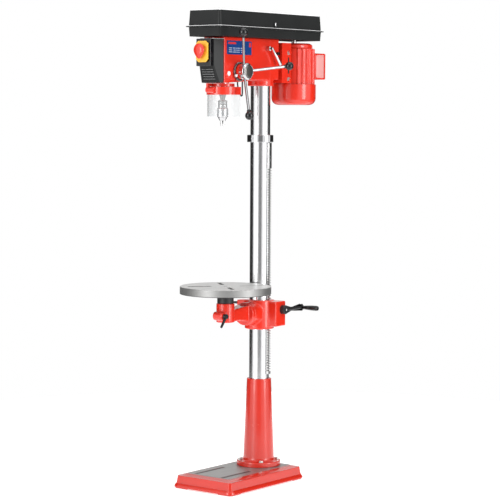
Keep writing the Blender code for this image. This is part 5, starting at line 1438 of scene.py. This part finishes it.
def cover_piece():
    """The lid as one closed strip of rings: inner roof, inner wall, rim, out round
    the lip, up the drafted wall, over the rounded edge and on to a raised panel."""
    low, high = corners("belt_cover")
    lip, thick, wall, edge = 0.009, 0.004, 0.003, sizes().cover_edge
    top, base = high[2], low[2]
    draft, panel_rise = 0.005, 0.0016
    stations = [
        (lip + wall + draft + 0.003, top - wall), (lip + wall, base), (0.0004, base),
        (0, base + 0.0004), (0, base + thick - 0.001), (0.001, base + thick), (lip, base + thick),
        (lip + 0.001, base + thick + 0.001),
    ]
    turn = np.linspace(0, np.pi / 2, 7)
    panel_low = top - panel_rise
    rim = [
        (lip + draft + edge * (1 - math.cos(a)), panel_low - edge * (1 - math.sin(a)))
        for a in turn
    ]
    panel = [
        (lip + draft + edge + 0.006, panel_low), (lip + draft + edge + 0.0075, panel_low + 0.0012),
        (lip + draft + edge + 0.0095, top),
    ]
    rings = []
    for depth, height in stations + rim + panel:
        flat = eased(cover_outline(low, high, depth, LIP_CORNER), 0.004, True, 5)
        rings.append(np.column_stack([flat, np.full(len(flat), height)]))
    made("belt_lid", [skin(np.array(rings))], satin_black(), "lid", ["belt_cover"])
    spot = middle("cover_knob")
    spot[0] = corners("cover_knob")[0][0]
    knob = eased([(0, 0), (0.0045, 0), (0.0040, 0.003), (0.0065, 0.0045), (0.0065, 0.0075),
                  (0.004, 0.0089), (0, 0.0089)], 0.0010)
    made("lid_knob", [turned(knob, spot, X_AXIS, 32)], chrome(), "lid", ["cover_knob"])


def tray_piece():
    refined("belt_tray", "belt_guard_tray", satin_black(), 0.0010, 3)


def drive_pieces():
    """What the covers hide: pulleys, belts, idler post, feed shaft and return spring."""
    steel, black = (bright_steel(), "bright_steel"), (rubber(), "black_rubber")
    for node, name, (paint, slot), edge in (
        ("spindle_pulley", "spindle_step_pulley", steel, 0.0004),
        ("idler_pulley", "idler_step_pulley", steel, 0.0004),
        ("drive_belt_front", "front_belt", black, 0.0005),
        ("drive_belt_rear", "rear_belt", black, 0.0005),
        ("idler_post", "idler_pivot_post", steel, 0.0004),
        ("feed_shaft", "feed_pinion_shaft", steel, 0.0003),
        ("return_spring", "return_coil_spring", steel, 0.0002),
    ):
        refined(node, name, paint, edge, 2)


# ---------------------------------------------------------------- stage


def studio_world():
    """A soft white room: plain white for the camera; for light and reflections,
    broad white walls left and right of the camera, dimmer ahead of and behind the
    object, so that turned metal shows dark and bright bands."""
    world = bpy.data.worlds.new("studio")
    bpy.context.scene.world = world
    w = Finish(world)
    direction = w.out(w.node("ShaderNodeTexCoord", {}, {}), "Generated")
    x, y, z = w.along(0, direction), w.along(1, direction), w.along(2, direction)
    heading = stage().turn
    ahead = x * math.sin(heading) - y * math.cos(heading)
    side = x * math.cos(heading) + y * math.sin(heading)
    swing = w.maths("ARCTAN2", side, ahead) * (180 / math.pi)
    left, right, front = (
        w.band(swing, start, stop, WALL_EDGE) * brightness for start, stop, brightness in WALLS
    )
    back = w.step(w.maths("ABSOLUTE", swing), 140.0, 155.0) * w.step(z, 0.0, 0.03)
    walls = left + right + front + back * BACK_WALL
    low = (1 - w.step(z, 0.55, 0.85)) * w.step(z, -0.6, -0.25)
    ceiling = w.step(z, 0.50, 0.85) * 0.9
    ground = (1 - w.step(z, -0.5, -0.2)) * 0.5
    light = GLOOM + walls * low + ceiling + ground
    eye = w.out(w.node("ShaderNodeLightPath", {}, {}), "Is Camera Ray")
    strength = w.maths("MAXIMUM", eye * 1.0, light * (1 - eye))
    shade = w.node("ShaderNodeBackground", {}, {"Color": (1, 1, 1, 1), "Strength": strength})
    w.node("ShaderNodeOutputWorld", {}, {0: w.out(shade)})


def soft_light(name, swing, height, distance, width, tall, power):
    """An area light at an angle round the object from the camera, facing it."""
    light = bpy.data.lights.new(name, "AREA")
    light.shape, light.size, light.size_y, light.energy = "RECTANGLE", width, tall, power
    lamp = bpy.data.objects.new(name, light)
    bpy.context.scene.collection.objects.link(lamp)
    heading = stage().turn + math.radians(swing)
    spot = Matrix.Translation((distance * math.sin(heading), -distance * math.cos(heading), height))
    aim = spot.translation.copy()
    aim.z -= AIM_HEIGHT
    lamp.matrix_world = spot @ aim.to_track_quat("Z", "Y").to_matrix().to_4x4()


def studio_lights():
    """Two tall soft boxes beside the camera and one overhead."""
    bpy.context.scene.view_settings.view_transform = "Standard"
    for box in SOFT_BOXES:
        soft_light(*box)


def floor_piece():
    """A round pale floor: rings of radius r about the column, level at z = 0."""
    angle = np.linspace(0, 2 * np.pi, 64, endpoint=False)
    ring = np.stack([np.cos(angle), np.sin(angle), 0 * angle], axis=1) * FLOOR_RADIUS
    mesh = bpy.data.meshes.new("floor")
    mesh.from_pydata(ring.tolist(), [], [list(range(len(ring)))])
    floor = bpy.data.objects.new("floor", mesh)
    bpy.context.scene.collection.objects.link(floor)
    f = Finish(bpy.data.materials.new("pale_floor"))
    drift = f.noise(0.8, 2.0)
    mesh.materials.append(
        f.surface(
            {
                "Base Color": f.mixed(drift, (0.88, 0.88, 0.88), (0.92, 0.92, 0.92)),
                "Roughness": 0.6 + drift * 0.1,
                "Emission Color": (1.0, 1.0, 1.0, 1.0),
                "Emission Strength": FLOOR_GLOW,
            }
        )
    )


def camera_piece():
    """The camera, stood and turned as the stage's settings say."""
    data = bpy.data.cameras.new("camera")
    camera = bpy.data.objects.new("camera", data)
    bpy.context.scene.collection.objects.link(camera)
    data.lens, data.sensor_width = stage().lens, 36.0
    data.clip_end = 60.0
    camera.matrix_world = (
        Matrix.Translation(stage().place)
        @ Matrix.Rotation(stage().turn, 4, "Z")
        @ Matrix.Rotation(math.pi / 2 - stage().dip, 4, "X")
        @ Matrix.Rotation(stage().roll, 4, "Z")
    )
    bpy.context.scene.camera = camera


# ---------------------------------------------------------------- add-on


class DRILLPRESS_OT_stage(Operator):
    """Sets up the camera, the studio light and the pale floor"""

    bl_idname = "drillpress.stage"
    bl_label = "Stage"
    bl_options = {"REGISTER", "UNDO"}

    def execute(self, context):
        camera_piece()
        studio_world()
        studio_lights()
        floor_piece()
        return {"FINISHED"}


class DRILLPRESS_OT_base(Operator):
    """Builds the base casting, its bolts and the pedestal"""

    bl_idname = "drillpress.base"
    bl_label = "Base"
    bl_options = {"REGISTER", "UNDO"}

    def execute(self, context):
        base_piece()
        base_trim()
        base_bolts()
        pedestal_piece()
        return {"FINISHED"}


class DRILLPRESS_OT_column(Operator):
    """Builds the column, the ring on it and the toothed rack"""

    bl_idname = "drillpress.column"
    bl_label = "Column"
    bl_options = {"REGISTER", "UNDO"}

    def execute(self, context):
        column_piece()
        collar_piece()
        rack_piece()
        return {"FINISHED"}


class DRILLPRESS_OT_table(Operator):
    """Builds the round table and the castings that carry it"""

    bl_idname = "drillpress.table"
    bl_label = "Table"
    bl_options = {"REGISTER", "UNDO"}

    def execute(self, context):
        table_pieces()
        table_castings()
        return {"FINISHED"}


class DRILLPRESS_OT_table_levers(Operator):
    """Builds the table's levers, crank and lift gear"""

    bl_idname = "drillpress.table_levers"
    bl_label = "Table levers"
    bl_options = {"REGISTER", "UNDO"}

    def execute(self, context):
        lever_pieces()
        crank_pieces()
        return {"FINISHED"}


class DRILLPRESS_OT_head(Operator):
    """Builds the head casting, its data plate and plug"""

    bl_idname = "drillpress.head"
    bl_label = "Head"
    bl_options = {"REGISTER", "UNDO"}

    def execute(self, context):
        head_pieces()
        plate_pieces()
        return {"FINISHED"}


class DRILLPRESS_OT_front(Operator):
    """Builds the front panel, the switch and its flap"""

    bl_idname = "drillpress.front"
    bl_label = "Front panel"
    bl_options = {"REGISTER", "UNDO"}

    def execute(self, context):
        front_pieces()
        vent_pieces()
        flap_piece()
        return {"FINISHED"}


class DRILLPRESS_OT_feed(Operator):
    """Builds the pilot wheel, the depth dial and the small controls"""

    bl_idname = "drillpress.feed"
    bl_label = "Feed"
    bl_options = {"REGISTER", "UNDO"}

    def execute(self, context):
        feed_pieces()
        depth_pieces()
        small_controls()
        return {"FINISHED"}


class DRILLPRESS_OT_spindle(Operator):
    """Builds the quill, the spindle and the chuck"""

    bl_idname = "drillpress.spindle"
    bl_label = "Spindle"
    bl_options = {"REGISTER", "UNDO"}

    def execute(self, context):
        spindle_pieces()
        return {"FINISHED"}


class DRILLPRESS_OT_guard(Operator):
    """Builds the swing-up chuck guard"""

    bl_idname = "drillpress.guard"
    bl_label = "Guard"
    bl_options = {"REGISTER", "UNDO"}

    def execute(self, context):
        guard_pieces()
        return {"FINISHED"}


class DRILLPRESS_OT_motor(Operator):
    """Builds the motor, its cowl, mount and wiring box"""

    bl_idname = "drillpress.motor"
    bl_label = "Motor"
    bl_options = {"REGISTER", "UNDO"}

    def execute(self, context):
        motor_pieces()
        fan_cover_piece()
        terminal_piece()
        return {"FINISHED"}


class DRILLPRESS_OT_drive(Operator):
    """Builds the belt cover, its tray, the pulleys and the belts"""

    bl_idname = "drillpress.drive"
    bl_label = "Drive"
    bl_options = {"REGISTER", "UNDO"}

    def execute(self, context):
        cover_piece()
        tray_piece()
        drive_pieces()
        return {"FINISHED"}


PIECE_OPERATORS = (
    DRILLPRESS_OT_stage,
    DRILLPRESS_OT_base,
    DRILLPRESS_OT_column,
    DRILLPRESS_OT_table,
    DRILLPRESS_OT_table_levers,
    DRILLPRESS_OT_head,
    DRILLPRESS_OT_front,
    DRILLPRESS_OT_feed,
    DRILLPRESS_OT_spindle,
    DRILLPRESS_OT_guard,
    DRILLPRESS_OT_motor,
    DRILLPRESS_OT_drive,
)


class DRILLPRESS_PT_pieces(Panel):
    """Lists the steps that build the drill press, and its settings"""

    bl_label = "Drill press"
    bl_space_type = "VIEW_3D"
    bl_region_type = "UI"
    bl_category = "Drill press"

    def draw(self, context):
        for step in PIECE_OPERATORS:
            self.layout.operator(step.bl_idname)
        for settings in (colours(), sizes(), stage()):
            box = self.layout.box()
            for entry in settings.__annotations__:
                box.prop(settings, entry)


SETTINGS = (
    ("press_colours", PressColours),
    ("press_sizes", PressSizes),
    ("press_stage", PressStage),
)


def register():
    for name, group in SETTINGS:
        bpy.utils.register_class(group)
        setattr(bpy.types.Scene, name, PointerProperty(type=group))
    for step in (*PIECE_OPERATORS, DRILLPRESS_PT_pieces):
        bpy.utils.register_class(step)


def unregister():
    for step in reversed((*PIECE_OPERATORS, DRILLPRESS_PT_pieces)):
        bpy.utils.unregister_class(step)
    for name, group in reversed(SETTINGS):
        delattr(bpy.types.Scene, name)
        bpy.utils.unregister_class(group)


def main():
    """Builds every piece in order."""
    register()
    for step in PIECE_OPERATORS:
        getattr(bpy.ops.drillpress, step.bl_idname.split(".")[1])()


if __name__ == "__main__":
    main()
